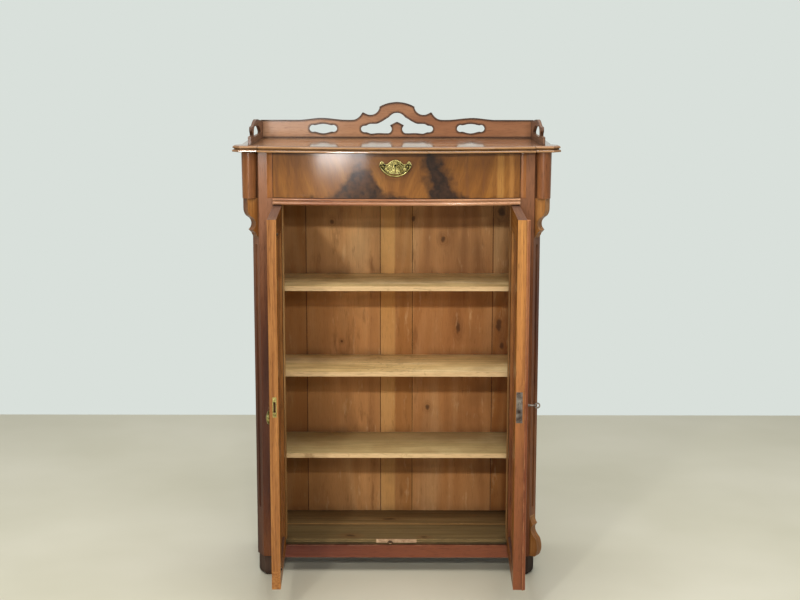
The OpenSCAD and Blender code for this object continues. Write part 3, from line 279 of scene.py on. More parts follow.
def wood(name, runs, dark, middle, light, board=0.0, boards=None, figure=9.0, rings=14.0, ring_share=0.18,
         streak=0.4, pore=0.5, touch=None, edge=0.35, edge_shade=None, line=0.0, reach=0.003, dirt_and_shade=0.6,
         corner_reach=0.03, rough=0.5, shine=0.12, polish=0.0, gloss=0.12):
    material, tree, shader, here = new_material(name)
    turned = put(tree, "ShaderNodeMapping", {"Vector": here.outputs["Object"], "Rotation": TURNS[runs]})
    number = boards(tree, here) if boards else board
    grain = put(tree, "ShaderNodeGroup", {"Place": turned.outputs[0], "Board": number, "Figure Size": figure,
                                          "Ring Count": rings}, node_tree=grain_of_wood).outputs
    mixed = put(tree, "ShaderNodeMix", {0: ring_share, 2: grain["Figure"], 3: grain["Rings"]})
    colour = ramp(tree, mixed.outputs[0], [(0.05, shade(*dark)), (0.5, shade(*middle)),
                                           (0.95, shade(*light))])
    colour = stain(tree, colour, dark, grain["Streaks"], streak)
    if touch:
        colour = touch(tree, here, colour, grain)
    colour = blend(tree, times(tree, grain["Pores"], pore), colour, deeper(dark, PORE_SHADE))
    edges = put(tree, "ShaderNodeGroup", {"Reach": reach}, node_tree=worn_edges)
    colour = stain(tree, colour, edge_shade or light, edges.outputs["Edge"], edge)
    if line:
        colour = stain(tree, colour, EDGE_STAIN, edges.outputs["Line"], line)
    # Painted shade: corners that ambient occlusion finds are darkened, partly as dirt and partly as the
    # shade that falls there.
    dark_corners = put(tree, "ShaderNodeGroup", {"Reach": corner_reach}, node_tree=shade_and_dirt_in_corners)
    dirt_and_shade_mask = times(tree, dark_corners.outputs["Shade And Dirt"], dirt_and_shade)
    colour = blend(tree, dirt_and_shade_mask, colour, shade(*DIRT_AND_SHADE))
    dull = spread(tree, grain["Streaks"], 0.0, 1.0, rough - 0.07, rough + 0.1)
    duller = sums(tree, "ADD", dull, times(tree, dirt_and_shade_mask, DIRT_DULLS), clamp=True)
    depth = sums(tree, "ADD", times(tree, grain["Pores"], -PORE_DEPTH),
                 times(tree, grain["Streaks"], -STREAK_DEPTH))
    raised = put(tree, "ShaderNodeBump", {"Strength": 0.25, "Distance": 0.0006, "Height": depth})
    feed(tree, shader, {"Base Color": colour, "Roughness": duller, "Normal": raised.outputs[0],
                        "Specular IOR Level": shine, "Coat Weight": polish, "Coat Roughness": gloss})
    return material


def dress(material, *names):
    for name in names:
        slots = nodes[name].data.materials
        slots.clear()
        slots.append(material)
    print(material.name, "on", ", ".join(names))


# %% [markdown]
# Some faces of a board differ from the rest: a shelf's front edge stays pale because nothing ever stood on
# it. The object's own normal tells which way a face looks, also when a door swings, because it turns with
# the door. `looks` turns one direction of it into a mask, and `between` does the same for a stretch of one
# axis.

# %% Masks from a direction or a place
def looks(tree, here, axis, way, soft=0.15):
    part = put(tree, "ShaderNodeSeparateXYZ", {0: here.outputs["Normal"]})
    return spread(tree, times(tree, part.outputs[axis], way), 0.75 - soft, 0.75 + soft)


def between(tree, value, low, high, soft):
    up = spread(tree, value, low - soft, low + soft)
    down = spread(tree, value, high + soft, high - soft)
    return times(tree, up, down)


def on_axis(tree, here, axis):
    return put(tree, "ShaderNodeSeparateXYZ", {0: here.outputs["Object"]}).outputs[axis]


def stretched(tree, here, scale):
    return vectors(tree, "MULTIPLY", here.outputs["Object"], scale)


def knots(tree, place, colour, places, core=(46, 28, 18)):
    """Knots at (across, along, size, stretch) of a place whose Z runs along the board."""
    for across, along, size, stretch in places:
        made = put(tree, "ShaderNodeGroup", {"Place": place, "Across": across, "Along": along, "Size": size,
                                             "Stretch": stretch}, node_tree=one_knot)
        colour = stain(tree, colour, (112, 66, 34), made.outputs["Halo"], 0.5)
        colour = stain(tree, colour, core, made.outputs["Core"], 0.62)
    return colour


# %% [markdown]
# The carcase is polished wood of a walnut brown. Its uprights have the grain running up. Their upper part
# is painted paler and pinkish, as painted light: it stands in the light above the open doors, which shade
# the lower part. The hollow beside the drawer shows fresher orange wood, because the drawer's end has rubbed
# it.

# %% Posts, columns and sides
DRAWER_FOOT = 1.158


def post_lit_top_and_rub(tree, here, colour, grain):
    up = on_axis(tree, here, "Z")
    # Painted light: the upper part is painted paler and pinkish, where the doors do not shade it.
    colour = stain(tree, colour, (168, 116, 80), spread(tree, up, 0.85, 1.2), 0.55)
    side = sums(tree, "ABSOLUTE", on_axis(tree, here, "X"))
    beside = between(tree, side, 0.350, 0.379, 0.001)
    hollow = times(tree, beside, spread(tree, up, DRAWER_FOOT, DRAWER_FOOT + 0.004))
    return stain(tree, colour, (176, 112, 56), hollow, 0.7)


def column_touch(tree, here, colour, grain):
    right = spread(tree, on_axis(tree, here, "X"), -0.1, 0.1)
    return stain(tree, colour, (176, 116, 72), right, 0.3)


post_wood = wood("Polished upright wood", "up", (66, 29, 13), (101, 53, 25), (138, 84, 46), board=1.3,
                 figure=8.0, streak=0.3, touch=post_lit_top_and_rub, rough=0.42, polish=0.12)
dress(post_wood, "corner_post_left", "corner_post_right")
column_wood = wood("Polished column wood", "up", (86, 44, 22), (130, 80, 42), (170, 114, 68), board=4.1,
                   figure=14.0, touch=column_touch, rough=0.36, polish=0.25)
dress(column_wood, "column_left", "column_right")
side_wood = wood("Polished side boards", "up", (96, 50, 30), (140, 84, 50), (174, 116, 72), board=7.7,
                 figure=6.0, ring_share=0.3, rough=0.42, polish=0.12)
dress(side_wood, "side_left", "side_right")

# %% Rails, plinth and bead
def plinth_touch(tree, here, colour, grain):
    right = spread(tree, on_axis(tree, here, "X"), -0.34, 0.1)
    return stain(tree, colour, (128, 72, 45), right, 0.75)


rail_wood = wood("Polished rail wood", "across", (140, 82, 50), (190, 134, 92), (226, 176, 134), board=2.9,
                 figure=8.0, edge=0.5, edge_shade=(214, 170, 128), rough=0.34, polish=0.4)
dress(rail_wood, "drawer_rail", "rail_bead")
plinth_wood = wood("Stained plinth rail", "across", (74, 32, 24), (99, 48, 36), (128, 71, 51), board=5.2,
                   figure=5.0, touch=plinth_touch, edge=0.7, edge_shade=(198, 150, 116), polish=0.15)
dress(plinth_wood, "plinth_rail")

# %% Moulded top and gallery
def top_lit_front(tree, here, colour, grain):
    # Painted light: faces that look to the front are painted a lighter orange, as if lit by the lamps.
    return stain(tree, colour, (188, 138, 84), looks(tree, here, "Y", -1.0, 0.4), 0.8)


def gallery_touch(tree, here, colour, grain):
    left = spread(tree, on_axis(tree, here, "X"), 0.15, -0.3)
    return stain(tree, colour, (148, 116, 92), left, 0.55)


top_wood = wood("Polished top", "across", (84, 52, 30), (124, 84, 54), (160, 116, 76), board=9.4,
                figure=8.0, touch=top_lit_front, edge=0.6, edge_shade=(226, 180, 124), dirt_and_shade=0.7,
                corner_reach=0.02, rough=0.32, polish=0.8, gloss=0.08)
dress(top_wood, "top_board")
gallery_wood = wood("Fretted gallery", "across", (130, 84, 54), (168, 120, 82), (192, 144, 102), board=11.8,
                    figure=7.0, streak=0.25, touch=gallery_touch, edge=0.0, line=1.0, reach=0.011,
                    dirt_and_shade=0.3, rough=0.45, polish=0.1)
dress(gallery_wood, "gallery_back")
gallery_side_wood = wood("Fretted gallery sides", "deep", (84, 58, 44), (122, 86, 64), (150, 112, 84),
                         board=12.9, figure=7.0, line=0.6, reach=0.005, rough=0.45, polish=0.12)
dress(gallery_side_wood, "gallery_left", "gallery_right")

# %% Carved brackets and feet
bracket_wood = wood("Carved brackets", "up", (108, 62, 25), (157, 103, 51), (190, 134, 75), board=6.6,
                    figure=20.0, edge=0.5, edge_shade=(216, 168, 112), line=0.25, rough=0.42, polish=0.15)
dress(bracket_wood, "upper_bracket_left", "upper_bracket_right", "lower_bracket_right")
foot_wood = wood("Dark feet", "up", (38, 26, 22), (62, 46, 38), (90, 70, 58), board=3.3, figure=14.0,
                 edge=0.5, edge_shade=(130, 100, 82), rough=0.6)
dress(foot_wood, "feet_front", "feet_rear")

# %% [markdown]
# Inside, nothing was ever polished. The back is five softwood boards that have gone golden brown, each
# from another tree. Where a board ends, a stepped ramp changes both its tint and the number that throws
# its grain somewhere else, so no two boards match. Knots are listed one by one, because real ones are few.

# %% Back boards
HALF_BACK = 0.417
BOARD_STARTS = (0.0, 0.156, 0.437, 0.559, 0.864)
BOARD_NUMBERS = (0.1, 0.45, 0.7, 0.28, 0.9)
BOARD_TINTS = ((150, 100, 50), (232, 180, 120), (246, 196, 124), (196, 144, 94), (144, 92, 44))
BACK_KNOTS = ((0.146, 0.996, 0.007, 1.2), (0.052, 1.062, 0.005, 1.6), (0.330, 1.085, 0.010, 1.6),
              (0.195, 0.712, 0.006, 3.2), (0.325, 0.720, 0.008, 2.4), (0.335, 0.655, 0.006, 2.0),
              (-0.176, 0.668, 0.004, 1.0), (0.098, 0.452, 0.006, 1.2), (-0.205, 1.052, 0.006, 1.2))


def step_by_board(tree, here, values):
    place = spread(tree, on_axis(tree, here, "X"), -HALF_BACK, HALF_BACK)
    return ramp(tree, place, list(zip(BOARD_STARTS, values)), "CONSTANT")


def which_board(tree, here):
    return times(tree, step_by_board(tree, here, [(v, v, v, 1.0) for v in BOARD_NUMBERS]), 10.0)


def back_touch(tree, here, colour, grain):
    across = on_axis(tree, here, "X")
    colour = blend(tree, 0.5, colour, step_by_board(tree, here, [shade(*t) for t in BOARD_TINTS]))
    colour = stain(tree, colour, (232, 180, 108), between(tree, across, -0.049, -0.008, 0.003), 0.5)
    colour = stain(tree, colour, (150, 92, 46), between(tree, across, -0.006, 0.048, 0.003), 0.5)
    low = spread(tree, on_axis(tree, here, "Z"), 0.95, 0.80)
    colour = stain(tree, colour, (168, 96, 34), low, 0.32)
    rubbed = stretched(tree, here, (1.0, 1.0, 0.22))
    pale = spread(tree, noise(tree, rubbed, 46.0, 6.0, 0.65), 0.58, 0.72)
    colour = stain(tree, colour, (238, 200, 146), pale, 0.45)
    dark = spread(tree, noise(tree, rubbed, 30.0, 6.0, 0.65), 0.42, 0.3)
    colour = stain(tree, colour, (104, 58, 24), dark, 0.45)
    smoke = spread(tree, noise(tree, here.outputs["Object"], 7.0, 4.0), 0.5, 0.68)
    colour = stain(tree, colour, (88, 58, 34), smoke, 0.22)
    # Painted shadow: the left part of the back is darkened where the left door shades it.
    colour = stain(tree, colour, (150, 104, 60), spread(tree, across, -0.19, -0.26), 0.55)
    return knots(tree, here.outputs["Object"], colour, BACK_KNOTS)


back_wood = wood("Golden back boards", "up", (124, 78, 38), (202, 148, 90), (242, 200, 142),
                 boards=which_board, figure=8.0, rings=9.0, ring_share=0.3, streak=0.25, pore=0.2,
                 touch=back_touch, edge=0.0, line=0.85, reach=0.0012, dirt_and_shade=0.5, rough=0.55, shine=0.1)
dress(back_wood, "back_boards")

# %% [markdown]
# The shelves have been scrubbed grey-brown on top, while their sawn front edges are still the pale tan of
# new wood, with a few dents. A fine crack runs along the middle one. It is a contour line of a noise, like
# the rings above.

# %% Shelves
def shelf_touch(tree, here, colour, grain):
    dents = spread(tree, noise(tree, here.outputs["Object"], 26.0, 4.0), 0.62, 0.7)
    pale = stain(tree, shade(226, 194, 144), (184, 142, 92), grain["Streaks"], 0.35)
    pale = stain(tree, pale, (150, 112, 70), dents, 0.5)
    up = on_axis(tree, here, "Z")
    colour = stain(tree, colour, (156, 142, 100), spread(tree, up, 0.45, 0.40), 0.55)
    marks = spread(tree, noise(tree, here.outputs["Object"], 9.0, 5.0), 0.44, 0.62)
    colour = stain(tree, colour, (150, 116, 70), marks, 0.35)
    thread = noise(tree, stretched(tree, here, (1.0, 2.6, 1.0)), 11.0, 6.0, 0.62)
    middle = times(tree, between(tree, on_axis(tree, here, "X"), -0.14, 0.10, 0.04),
                   between(tree, up, 0.5, 0.7, 0.01))
    crack = between(tree, thread, 0.494, 0.506, 0.004)
    colour = stain(tree, colour, (84, 56, 32), crack, times(tree, middle, 0.75))
    return blend(tree, looks(tree, here, "Y", -1.0), colour, pale)


shelf_wood = wood("Scrubbed shelves", "across", (196, 166, 108), (236, 206, 146), (252, 228, 174),
                  board=21.0, rings=16.0, ring_share=0.3, streak=0.35, touch=shelf_touch, edge=0.0,
                  dirt_and_shade=0.4, rough=0.6, shine=0.2)
dress(shelf_wood, "shelf_upper", "shelf_middle", "shelf_lower")

# %% [markdown]
# The two bottom boards lie in the dark. Their joint is painted as a light line, a painted highlight on its
# arris, and the front one is dirtier.
# The boards lie across, so the knots get a place with its axes swapped.

# %% Bottom boards and plain inner wood
BOTTOM_JOINT = (0.184, 0.189)
BOTTOM_KNOTS = ((0.073, -0.142, 0.009, 1.6), (0.061, 0.086, 0.006, 1.6), (0.236, -0.023, 0.007, 2.6))


def bottom_touch(tree, here, colour, grain):
    deep = on_axis(tree, here, "Y")
    colour = stain(tree, colour, (88, 76, 50), spread(tree, deep, 0.19, 0.18), 0.5)
    # Painted highlight: a light line along the joint between the two boards.
    colour = stain(tree, colour, (214, 160, 96), between(tree, deep, *BOTTOM_JOINT, 0.001), 0.8)
    lying = put(tree, "ShaderNodeCombineXYZ", {"X": deep, "Z": on_axis(tree, here, "X")})
    return knots(tree, lying.outputs[0], colour, BOTTOM_KNOTS, core=(10, 12, 8))


bottom_wood = wood("Dark bottom boards", "across", (84, 66, 40), (122, 98, 62), (158, 130, 86), board=24.0,
                   figure=5.0, touch=bottom_touch, edge=0.9, edge_shade=(226, 184, 124), reach=0.002)
dress(bottom_wood, "bottom_boards")
batten_wood = wood("Pine battens", "up", (150, 106, 60), (186, 140, 86), (214, 170, 112), board=26.0,
                   rough=0.6, shine=0.2)
dress(batten_wood, "stop_battens")
rough_wood = wood("Rough inner wood", "across", (112, 80, 50), (150, 112, 74), (184, 146, 102), board=28.0,
                  rough=0.65, shine=0.2)
dress(rough_wood, "top_cross_rails", "drawer_back", "drawer_bottom")
runner_wood = wood("Runners and drawer sides", "deep", (116, 84, 52), (158, 120, 78), (190, 152, 106),
                   board=31.0, rough=0.62, shine=0.2)
dress(runner_wood, "drawer_runners", "drawer_sides", "shelf_battens")

# %% [markdown]
# The drawer front is the show piece: veneer cut from the crotch of a tree, where two stems part. Its
# stripes run together towards the foot below the handle, and it has two dark clouds, a hill on the left and
# a slanting band on the right. Painting it as a picture would tie it to one size of image. Here the stripes
# are a noise whose place leans more the nearer it is to the middle, and the clouds are a bell curve and a
# slanting strip with ragged edges.

# %% Shapes in the drawer's veneer
HILL_MIDDLE = -0.102
HILL_WIDTH = 0.06
HILL_HEIGHT = 0.098
BAND_TOP = 1.29
BAND_MIDDLE = 0.098
BAND_HALF = 0.027


def leaning_stripes(tree, across, up):
    ratio = sums(tree, "DIVIDE", across, 0.09)
    lean = sums(tree, "DIVIDE", times(tree, across, 11.0),
                sums(tree, "ADD", times(tree, ratio, ratio), 1.0))
    leaned = sums(tree, "SUBTRACT", across, times(tree, lean, sums(tree, "SUBTRACT", up, 1.2)))
    place = put(tree, "ShaderNodeCombineXYZ", {"X": leaned, "Z": times(tree, up, 0.12)}).outputs[0]
    broad = spread(tree, noise(tree, place, 30.0, 5.0), 0.2, 0.8)
    fine = spread(tree, noise(tree, place, 150.0, 4.0), 0.34, 0.66)
    colour = ramp(tree, broad, [(0.0, shade(116, 70, 24)), (0.5, shade(144, 92, 36)),
                                (1.0, shade(172, 118, 52))])
    return stain(tree, colour, (112, 66, 32), fine, 0.3)


def hill_mask(tree, across, up, ragged):
    aside = sums(tree, "DIVIDE", sums(tree, "ADD", across, -HILL_MIDDLE), HILL_WIDTH)
    bell = sums(tree, "POWER", 2.718, times(tree, -1.0, sums(tree, "POWER", aside, 2.0)))
    top = sums(tree, "ADD", DRAWER_FOOT, times(tree, bell, HILL_HEIGHT))
    under = sums(tree, "ADD", sums(tree, "SUBTRACT", top, up), times(tree, ragged, 0.03))
    return spread(tree, under, -0.010, 0.014)


def band_mask(tree, across, up, ragged):
    drop = sums(tree, "SUBTRACT", BAND_TOP, up)
    middle = sums(tree, "ADD", BAND_MIDDLE, times(tree, drop, 0.38))
    half = sums(tree, "ADD", BAND_HALF, times(tree, drop, 0.2))
    aside = sums(tree, "ABSOLUTE", sums(tree, "SUBTRACT", across, middle))
    inside = sums(tree, "ADD", sums(tree, "SUBTRACT", half, aside), times(tree, ragged, 0.028))
    return spread(tree, inside, -0.008, 0.02)


# %% Drawer front
STRIPS = ((0.299, 0.318, 0.5, (196, 142, 72)), (0.334, 0.346, 0.5, (190, 134, 70)),
          (0.205, 0.214, 0.3, (112, 70, 42)), (0.255, 0.261, 0.3, (116, 74, 44)),
          (-0.352, -0.343, 0.35, (100, 58, 26)), (-0.318, -0.311, 0.35, (104, 62, 28)),
          (-0.296, -0.284, 0.3, (108, 64, 30)))


def flame_touch(tree, here, colour, grain):
    across = sums(tree, "ADD", on_axis(tree, here, "X"), 0.003)
    up = on_axis(tree, here, "Z")
    place = here.outputs["Object"]
    colour = leaning_stripes(tree, across, up)
    ragged = spread(tree, noise(tree, place, 34.0, 5.0), 0.3, 0.7, -0.5, 0.5)
    mottle = spread(tree, noise(tree, place, 60.0, 5.0), 0.35, 0.65)
    hill_brown = blend(tree, mottle, shade(26, 14, 6), shade(82, 50, 22))
    band_brown = blend(tree, mottle, shade(14, 8, 6), shade(54, 34, 22))
    colour = stain(tree, colour, hill_brown, hill_mask(tree, across, up, ragged), 0.96)
    colour = stain(tree, colour, band_brown, band_mask(tree, across, up, ragged), 0.94)
    sway = spread(tree, noise(tree, place, 9.0, 2.0), 0.0, 1.0, -0.008, 0.008)
    wavy = sums(tree, "ADD", across, sway)
    for low, high, share, tone in STRIPS:
        colour = stain(tree, colour, tone, between(tree, wavy, low, high, 0.003), share)
    return colour


drawer_wood = wood("Flamed drawer front", "up", (84, 46, 24), (158, 104, 56), (190, 134, 76), board=14.0,
                   figure=10.0, streak=0.0, pore=0.3, touch=flame_touch, edge=0.0, line=0.8,
                   reach=0.0016, dirt_and_shade=0.35, rough=0.34, shine=0.06, polish=0.45, gloss=0.1)
dress(drawer_wood, "drawer_front")

# %% [markdown]
# The doors' edges are a different colour from their faces: the left one has gone golden, and the right one
# is painted from orange at the top to red-brown at the foot, as painted light that is brighter higher up.
# The top faces are painted a dark grey-brown.

# %% Door edges
def dark_top_faces(tree, here, colour):
    # The faces that look up are painted a dark grey-brown.
    return stain(tree, colour, (92, 70, 62), looks(tree, here, "Z", 1.0), 0.85)


def left_edge(tree, here, colour, grain):
    tone = blend(tree, grain["Streaks"], shade(190, 130, 70), shade(130, 78, 36))
    return stain(tree, dark_top_faces(tree, here, colour), tone, looks(tree, here, "Y", -1.0), 0.85)


def right_edge_lit_above(tree, here, colour, grain):
    # Painted light: the edge is painted brighter and more orange towards the top and darker at the foot.
    height = spread(tree, on_axis(tree, here, "Z"), 0.1, 1.13)
    tone = ramp(tree, height, [(0.0, shade(132, 72, 46)), (0.35, shade(150, 90, 54)),
                               (0.62, shade(200, 132, 72)), (1.0, shade(216, 152, 80))])
    tone = stain(tree, tone, (120, 72, 38), grain["Streaks"], 0.6)
    return stain(tree, dark_top_faces(tree, here, colour), tone, looks(tree, here, "Y", -1.0), 0.9)


# %% Doors
panel_wood = wood("Veneered door panels", "up", (112, 64, 34), (158, 98, 54), (194, 134, 78), board=18.0,
                  figure=8.0, ring_share=0.35, edge=0.1, rough=0.36, polish=0.2)
for hand, edge_touch, number in (("left", left_edge, 16.0), ("right", right_edge_lit_above, 19.5)):
    stile_wood = wood(f"Stiles of the {hand} door", "up", (86, 44, 12), (126, 74, 22), (160, 104, 40),
                      board=number, streak=0.5, touch=edge_touch, edge=0.4, rough=0.45, polish=0.15)
    crosspiece_wood = wood(f"Rails of the {hand} door", "deep", (82, 42, 12), (120, 70, 22), (154, 98, 38),
                           board=number + 1.2, touch=edge_touch, edge=0.4, rough=0.45, polish=0.15)
    dress(stile_wood, f"{hand}_door_hinge_stile", f"{hand}_door_meeting_stile")
    dress(crosspiece_wood, f"{hand}_door_top_rail", f"{hand}_door_bottom_rail")
    dress(panel_wood, f"{hand}_door_panel", f"{hand}_door_moulding")
lap_wood = wood("Lapped strip on the right door", "up", (104, 52, 34), (148, 86, 54), (180, 118, 76),
                board=22.0, edge=0.6, edge_shade=(210, 150, 100), rough=0.42, polish=0.12)
dress(lap_wood, "right_door_astragal")

# %% [markdown]
# Old brass is bright where it is touched and brown in its hollows, and here the hollows are darkened
# further, for brass nearly to black, as painted shade. Iron in a cupboard goes nearly black with a little
# rust. Both are metals, so the colour tints the reflection, and roughness does the rest.

# %% Metal finishes
def metal(name, bright, dull, rough, worn, bump=0.15, dark=0.25):
    material, tree, shader, here = new_material(name)
    cloud = noise(tree, here.outputs["Object"], 60.0, 5.0)
    pits = noise(tree, here.outputs["Object"], 500.0, 3.0)
    colour = blend(tree, spread(tree, cloud, 0.35, 0.68), shade(*bright), shade(*dull))
    # Painted shade with the patina: the strengthened corner mask darkens the hollows towards black.
    dark_corners = put(tree, "ShaderNodeGroup", {"Reach": 0.006, "Clouds": 90.0, "Full At": 0.8},
               node_tree=shade_and_dirt_in_corners)
    patina_and_shade = times(tree, dark_corners.outputs["Shade And Dirt"], 1.6, clamp=True)
    colour = blend(tree, patina_and_shade, colour, deeper(dull, dark))
    edges = put(tree, "ShaderNodeGroup", {"Reach": 0.0012, "Patches": 160.0}, node_tree=worn_edges)
    colour = stain(tree, colour, bright, edges.outputs["Edge"], worn)
    dulled = spread(tree, cloud, 0.3, 0.7, rough - 0.08, rough + 0.18)
    raised = put(tree, "ShaderNodeBump", {"Strength": bump, "Distance": 0.0004, "Height": pits})
    feed(tree, shader, {"Base Color": colour, "Roughness": dulled, "Metallic": 1.0,
                        "Normal": raised.outputs[0]})
    return material


brass = metal("Aged brass", (166, 156, 98), (82, 70, 32), 0.3, 0.8, dark=0.06)
dress(brass, "handle_plate", "handle_bail", "left_door_fittings", "left_door_escutcheon",
      "right_door_escutcheon", "drawer_lock")
pale_metal = metal("Pale strip", (184, 154, 126), (136, 108, 84), 0.45, 0.4)
dress(pale_metal, "sill_strip")
iron = metal("Old iron", (120, 112, 104), (62, 50, 44), 0.5, 0.5, bump=0.3)
dress(iron, "hinge_plates", "right_door_bushes", "right_door_lock", "right_door_lock_bolt",
      "drawer_lock_bolt", "left_door_upper_bolt", "left_door_lower_bolt", "door_key")

# %% [markdown]
# The plates are held by small slotted screws, too fine for the solids. Each head is two half discs with a
# gap between them for the driver, and their rims are filed round. To seat one, a line is shot at the plate
# from in front: where it lands gives the place, and the face that it meets gives the tilt, so that the
# screws follow the doors' two degrees without any copied angle.

# %% A slotted screw
SCREW_RADIUS = 0.0026
SCREW_PROUD = 0.0003
SCREW_SUNK = 0.0001
SLOT_HALF = 0.0004
CORNERS = 13


def half_disc(build, way):
    start = math.asin(SLOT_HALF / SCREW_RADIUS)
    rings = []
    for height, reach in ((-SCREW_SUNK, 1.0), (SCREW_PROUD * 0.5, 1.0), (SCREW_PROUD, 0.86)):
        ring = []
        for step in range(CORNERS):
            turn = start + (math.pi - 2 * start) * step / (CORNERS - 1)
            along = SCREW_RADIUS * reach * math.cos(turn)
            aside = max(SCREW_RADIUS * reach * math.sin(turn), SLOT_HALF)
            ring.append(build.verts.new((along * way, aside * way, height)))
        rings.append(ring)
    for low, high in zip(rings, rings[1:]):
        for n in range(CORNERS):
            m = (n + 1) % CORNERS
            build.faces.new((low[n], low[m], high[m], high[n]))
    build.faces.new(rings[-1])
    build.faces.new(list(reversed(rings[0])))


def screw(name, node, body, start, aim, turn, material):
    solid = nodes[node].data
    tree = BVHTree.FromPolygons([v.co for v in solid.vertices], [p.vertices for p in solid.polygons])
    place, normal, _, far = tree.ray_cast(Vector(start), Vector(aim))
    build = bmesh.new()
    half_disc(build, 1)
    half_disc(build, -1)
    seat = normal.to_track_quat("Z", "X").to_matrix().to_4x4() @ Matrix.Rotation(turn, 4, "Z")
    bmesh.ops.transform(build, matrix=Matrix.Translation(place) @ seat, verts=build.verts)
    mesh = bpy.data.meshes.new(name)
    build.to_mesh(mesh)
    build.free()
    mesh.materials.append(material)
    made = bpy.data.objects.new(name, mesh)
    bpy.context.scene.collection.objects.link(made)
    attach(made, body)
    print(name, "at", [round(c, 4) for c in place], "off by", round(far, 4))


# %% Screws in the plates
IN_FRONT = -0.5
STRIKE_X = -0.3354
STRIKE_ENDS = (0.5875, 0.6445)
BOLT_PLATE_ENDS = ((0.1028, 0.1608), (1.0755, 1.1335))
BOLT_PLATE_DEEP = -0.3177

lock_low, lock_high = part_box("right_door_lock")
lock_x = (lock_low[0] + lock_high[0]) / 2
for n, z in enumerate((lock_low[2] + 0.008, lock_high[2] - 0.008)):
    screw("forend_screw_%d" % n, "right_door_lock", "right_door", (lock_x, IN_FRONT, z),
          (0, 1, 0), 0.4 + n, iron)
for n, z in enumerate((STRIKE_ENDS[0] + 0.007, STRIKE_ENDS[1] - 0.007)):
    screw("strike_screw_%d" % n, "left_door_fittings", "left_door", (STRIKE_X, IN_FRONT, z),
          (0, 1, 0), 1.1 + n, brass)
for k, ends in enumerate(BOLT_PLATE_ENDS):
    for n, z in enumerate((ends[0] + 0.005, ends[1] - 0.005)):
        screw("bolt_plate_screw_%d_%d" % (k, n), "left_door_fittings", "left_door",
              (-0.2, BOLT_PLATE_DEEP, z), (-1, 0, 0), 0.7 * n + k, brass)

# %% [markdown]
# The floor is a plain pale sheet that ends behind the cupboard. Beyond it the camera sees only a pale
# world, so that the cupboard can be looked at from behind as well. The world lights the room weakly, and
# rays that come from the camera, or leave a polished face, see it at its full paleness.

# %% Floor
FLOOR_REACH = 7.0
FLOOR_BACK = 1.997


def floor_sheet():
    mesh = bpy.data.meshes.new("Floor")
    build = bmesh.new()
    build.faces.new([build.verts.new(corner) for corner in (
        (-FLOOR_REACH, -FLOOR_REACH, 0), (FLOOR_REACH, -FLOOR_REACH, 0),
        (FLOOR_REACH, FLOOR_BACK, 0), (-FLOOR_REACH, FLOOR_BACK, 0))])
    build.to_mesh(mesh)
    build.free()
    sheet = bpy.data.objects.new("Floor", mesh)
    bpy.context.scene.collection.objects.link(sheet)
    material, tree, shader, here = new_material("Pale floor")
    cloud = noise(tree, here.outputs["Object"], 1.5, 3.0)
    pale = ramp(tree, cloud, [(0.3, shade(200, 196, 173)), (0.7, shade(212, 208, 188))])
    feed(tree, shader, {"Base Color": pale, "Roughness": 0.45})
    mesh.materials.append(material)


floor_sheet()

# %% World
world = bpy.data.worlds.new("Pale room")
bpy.context.scene.world = world
world.use_nodes = True
sky = world.node_tree
for old in list(sky.nodes):
    sky.nodes.remove(old)
ray = put(sky, "ShaderNodeLightPath").outputs
room = put(sky, "ShaderNodeBackground", {"Color": shade(236, 236, 238), "Strength": 0.13})
beyond = put(sky, "ShaderNodeBackground", {"Color": shade(217, 224, 219), "Strength": 1.0})
seen = sums(sky, "MAXIMUM", ray["Is Camera Ray"],
            sums(sky, "MAXIMUM", ray["Is Transmission Ray"], ray["Is Glossy Ray"]))
chosen = put(sky, "ShaderNodeMixShader", {0: seen, 1: room.outputs[0], 2: beyond.outputs[0]})
put(sky, "ShaderNodeOutputWorld", {"Surface": chosen.outputs[0]})

# %% [markdown]
# The shadows tell how the room was lit. On the back boards each shelf draws two shadow lines, one 18
# degrees and one 13 degrees below its edge, and the left door draws one across the shelf from the left. So
# three soft boxes stand before the cupboard: two high ones, the stronger on the left, and a weak low one on
# the right. Two broad panels overhead light the floor and the tops. The polished drawer mirrors a window
# and its curtain low on the left. Those two lamps are left out of the diffuse light, so they show only as
# reflections.

# %% Lamps
WARM = (1.0, 0.98, 0.95)
NEUTRAL = (1.0, 0.99, 0.97)
ROSY = (1.0, 0.93, 0.88)
BLUISH = (0.84, 0.93, 1.0)


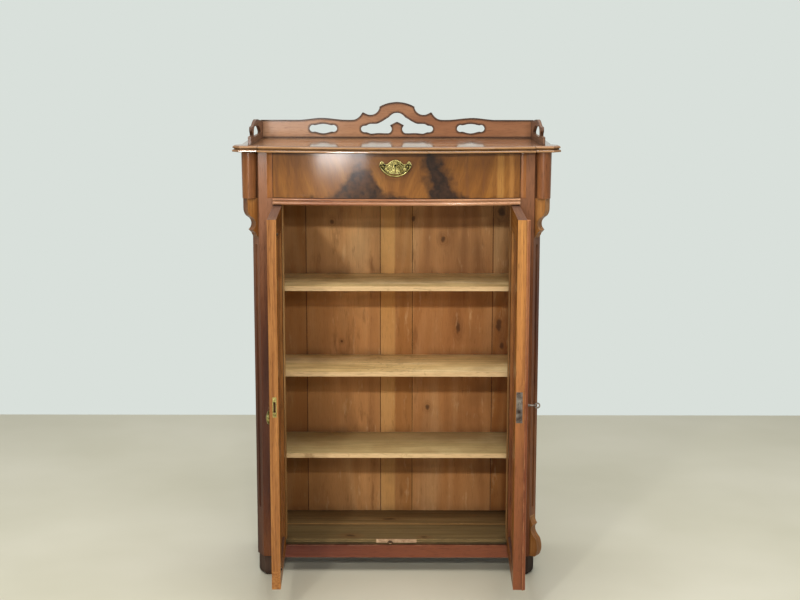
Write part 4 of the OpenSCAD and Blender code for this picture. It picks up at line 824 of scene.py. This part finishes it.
def lamp(name, place, aim, width, height, power, colour, only_mirrored=False):
    data = bpy.data.lights.new(name, "AREA")
    data.shape = "RECTANGLE"
    data.size = width
    data.size_y = height
    data.energy = power
    data.color = colour
    made = bpy.data.objects.new(name, data)
    made.location = place
    made.rotation_euler = (Vector(aim) - Vector(place)).to_track_quat("-Z", "Y").to_euler()
    made.visible_diffuse = not only_mirrored
    bpy.context.scene.collection.objects.link(made)
    fall = math.atan2(place[2] - aim[2], abs(place[1] - aim[1]))
    print(name, "elevation", round(math.degrees(fall), 1))


lamp("Left soft box", (-1.5, -4.5, 2.6), (0.0, 0.1, 1.0), 0.25, 0.14, 62.0, WARM)
lamp("Middle soft box", (0.3, -4.6, 2.6), (0.0, 0.1, 1.0), 0.25, 0.14, 42.0, WARM)
lamp("Right soft box", (0.9, -4.4, 2.15), (0.0, 0.1, 1.0), 0.25, 0.14, 15.0, WARM)
lamp("Ceiling over the cupboard", (0.0, 0.3, 4.2), (0.0, 0.3, 0.0), 5.0, 4.0, 130.0, NEUTRAL)
lamp("Ceiling before the cupboard", (0.0, -1.7, 3.6), (0.0, -1.3, 0.0), 2.6, 1.6, 76.0, NEUTRAL)
lamp("Window", (-0.60, -4.6, 1.27), (-0.13, 0.0, 1.24), 0.22, 0.8, 14.0, BLUISH, only_mirrored=True)
lamp("Curtain", (-1.0, -4.6, 1.21), (-0.2, 0.0, 1.24), 0.5, 0.7, 54.0, ROSY, only_mirrored=True)

# %% [markdown]
# The camera was found from measured edges of the photograph. Its focal length came out in pixels, and a
# sensor as wide as the picture turns it into millimetres.

# %% Camera
SENSOR = 36.0
PICTURE_WIDTH = 800.0
FOCAL_PIXELS = 1510.27
LOOKS_DOWN = 0.1738
LEANS = -0.0008
LOOKS_LEFT = 0.0025

lens = bpy.data.cameras.new("Camera")
lens.sensor_fit = "HORIZONTAL"
lens.sensor_width = SENSOR
lens.lens = SENSOR * FOCAL_PIXELS / PICTURE_WIDTH
camera = bpy.data.objects.new("Camera", lens)
camera.location = (0.021, -4.3981, 1.6315)
camera.rotation_mode = "XYZ"
camera.rotation_euler = (math.pi / 2 - LOOKS_DOWN, LEANS, LOOKS_LEFT)
bpy.context.scene.collection.objects.link(camera)
bpy.context.scene.camera = camera
bpy.context.scene.view_settings.view_transform = "Standard"
print("lens", round(lens.lens, 2), "mm")
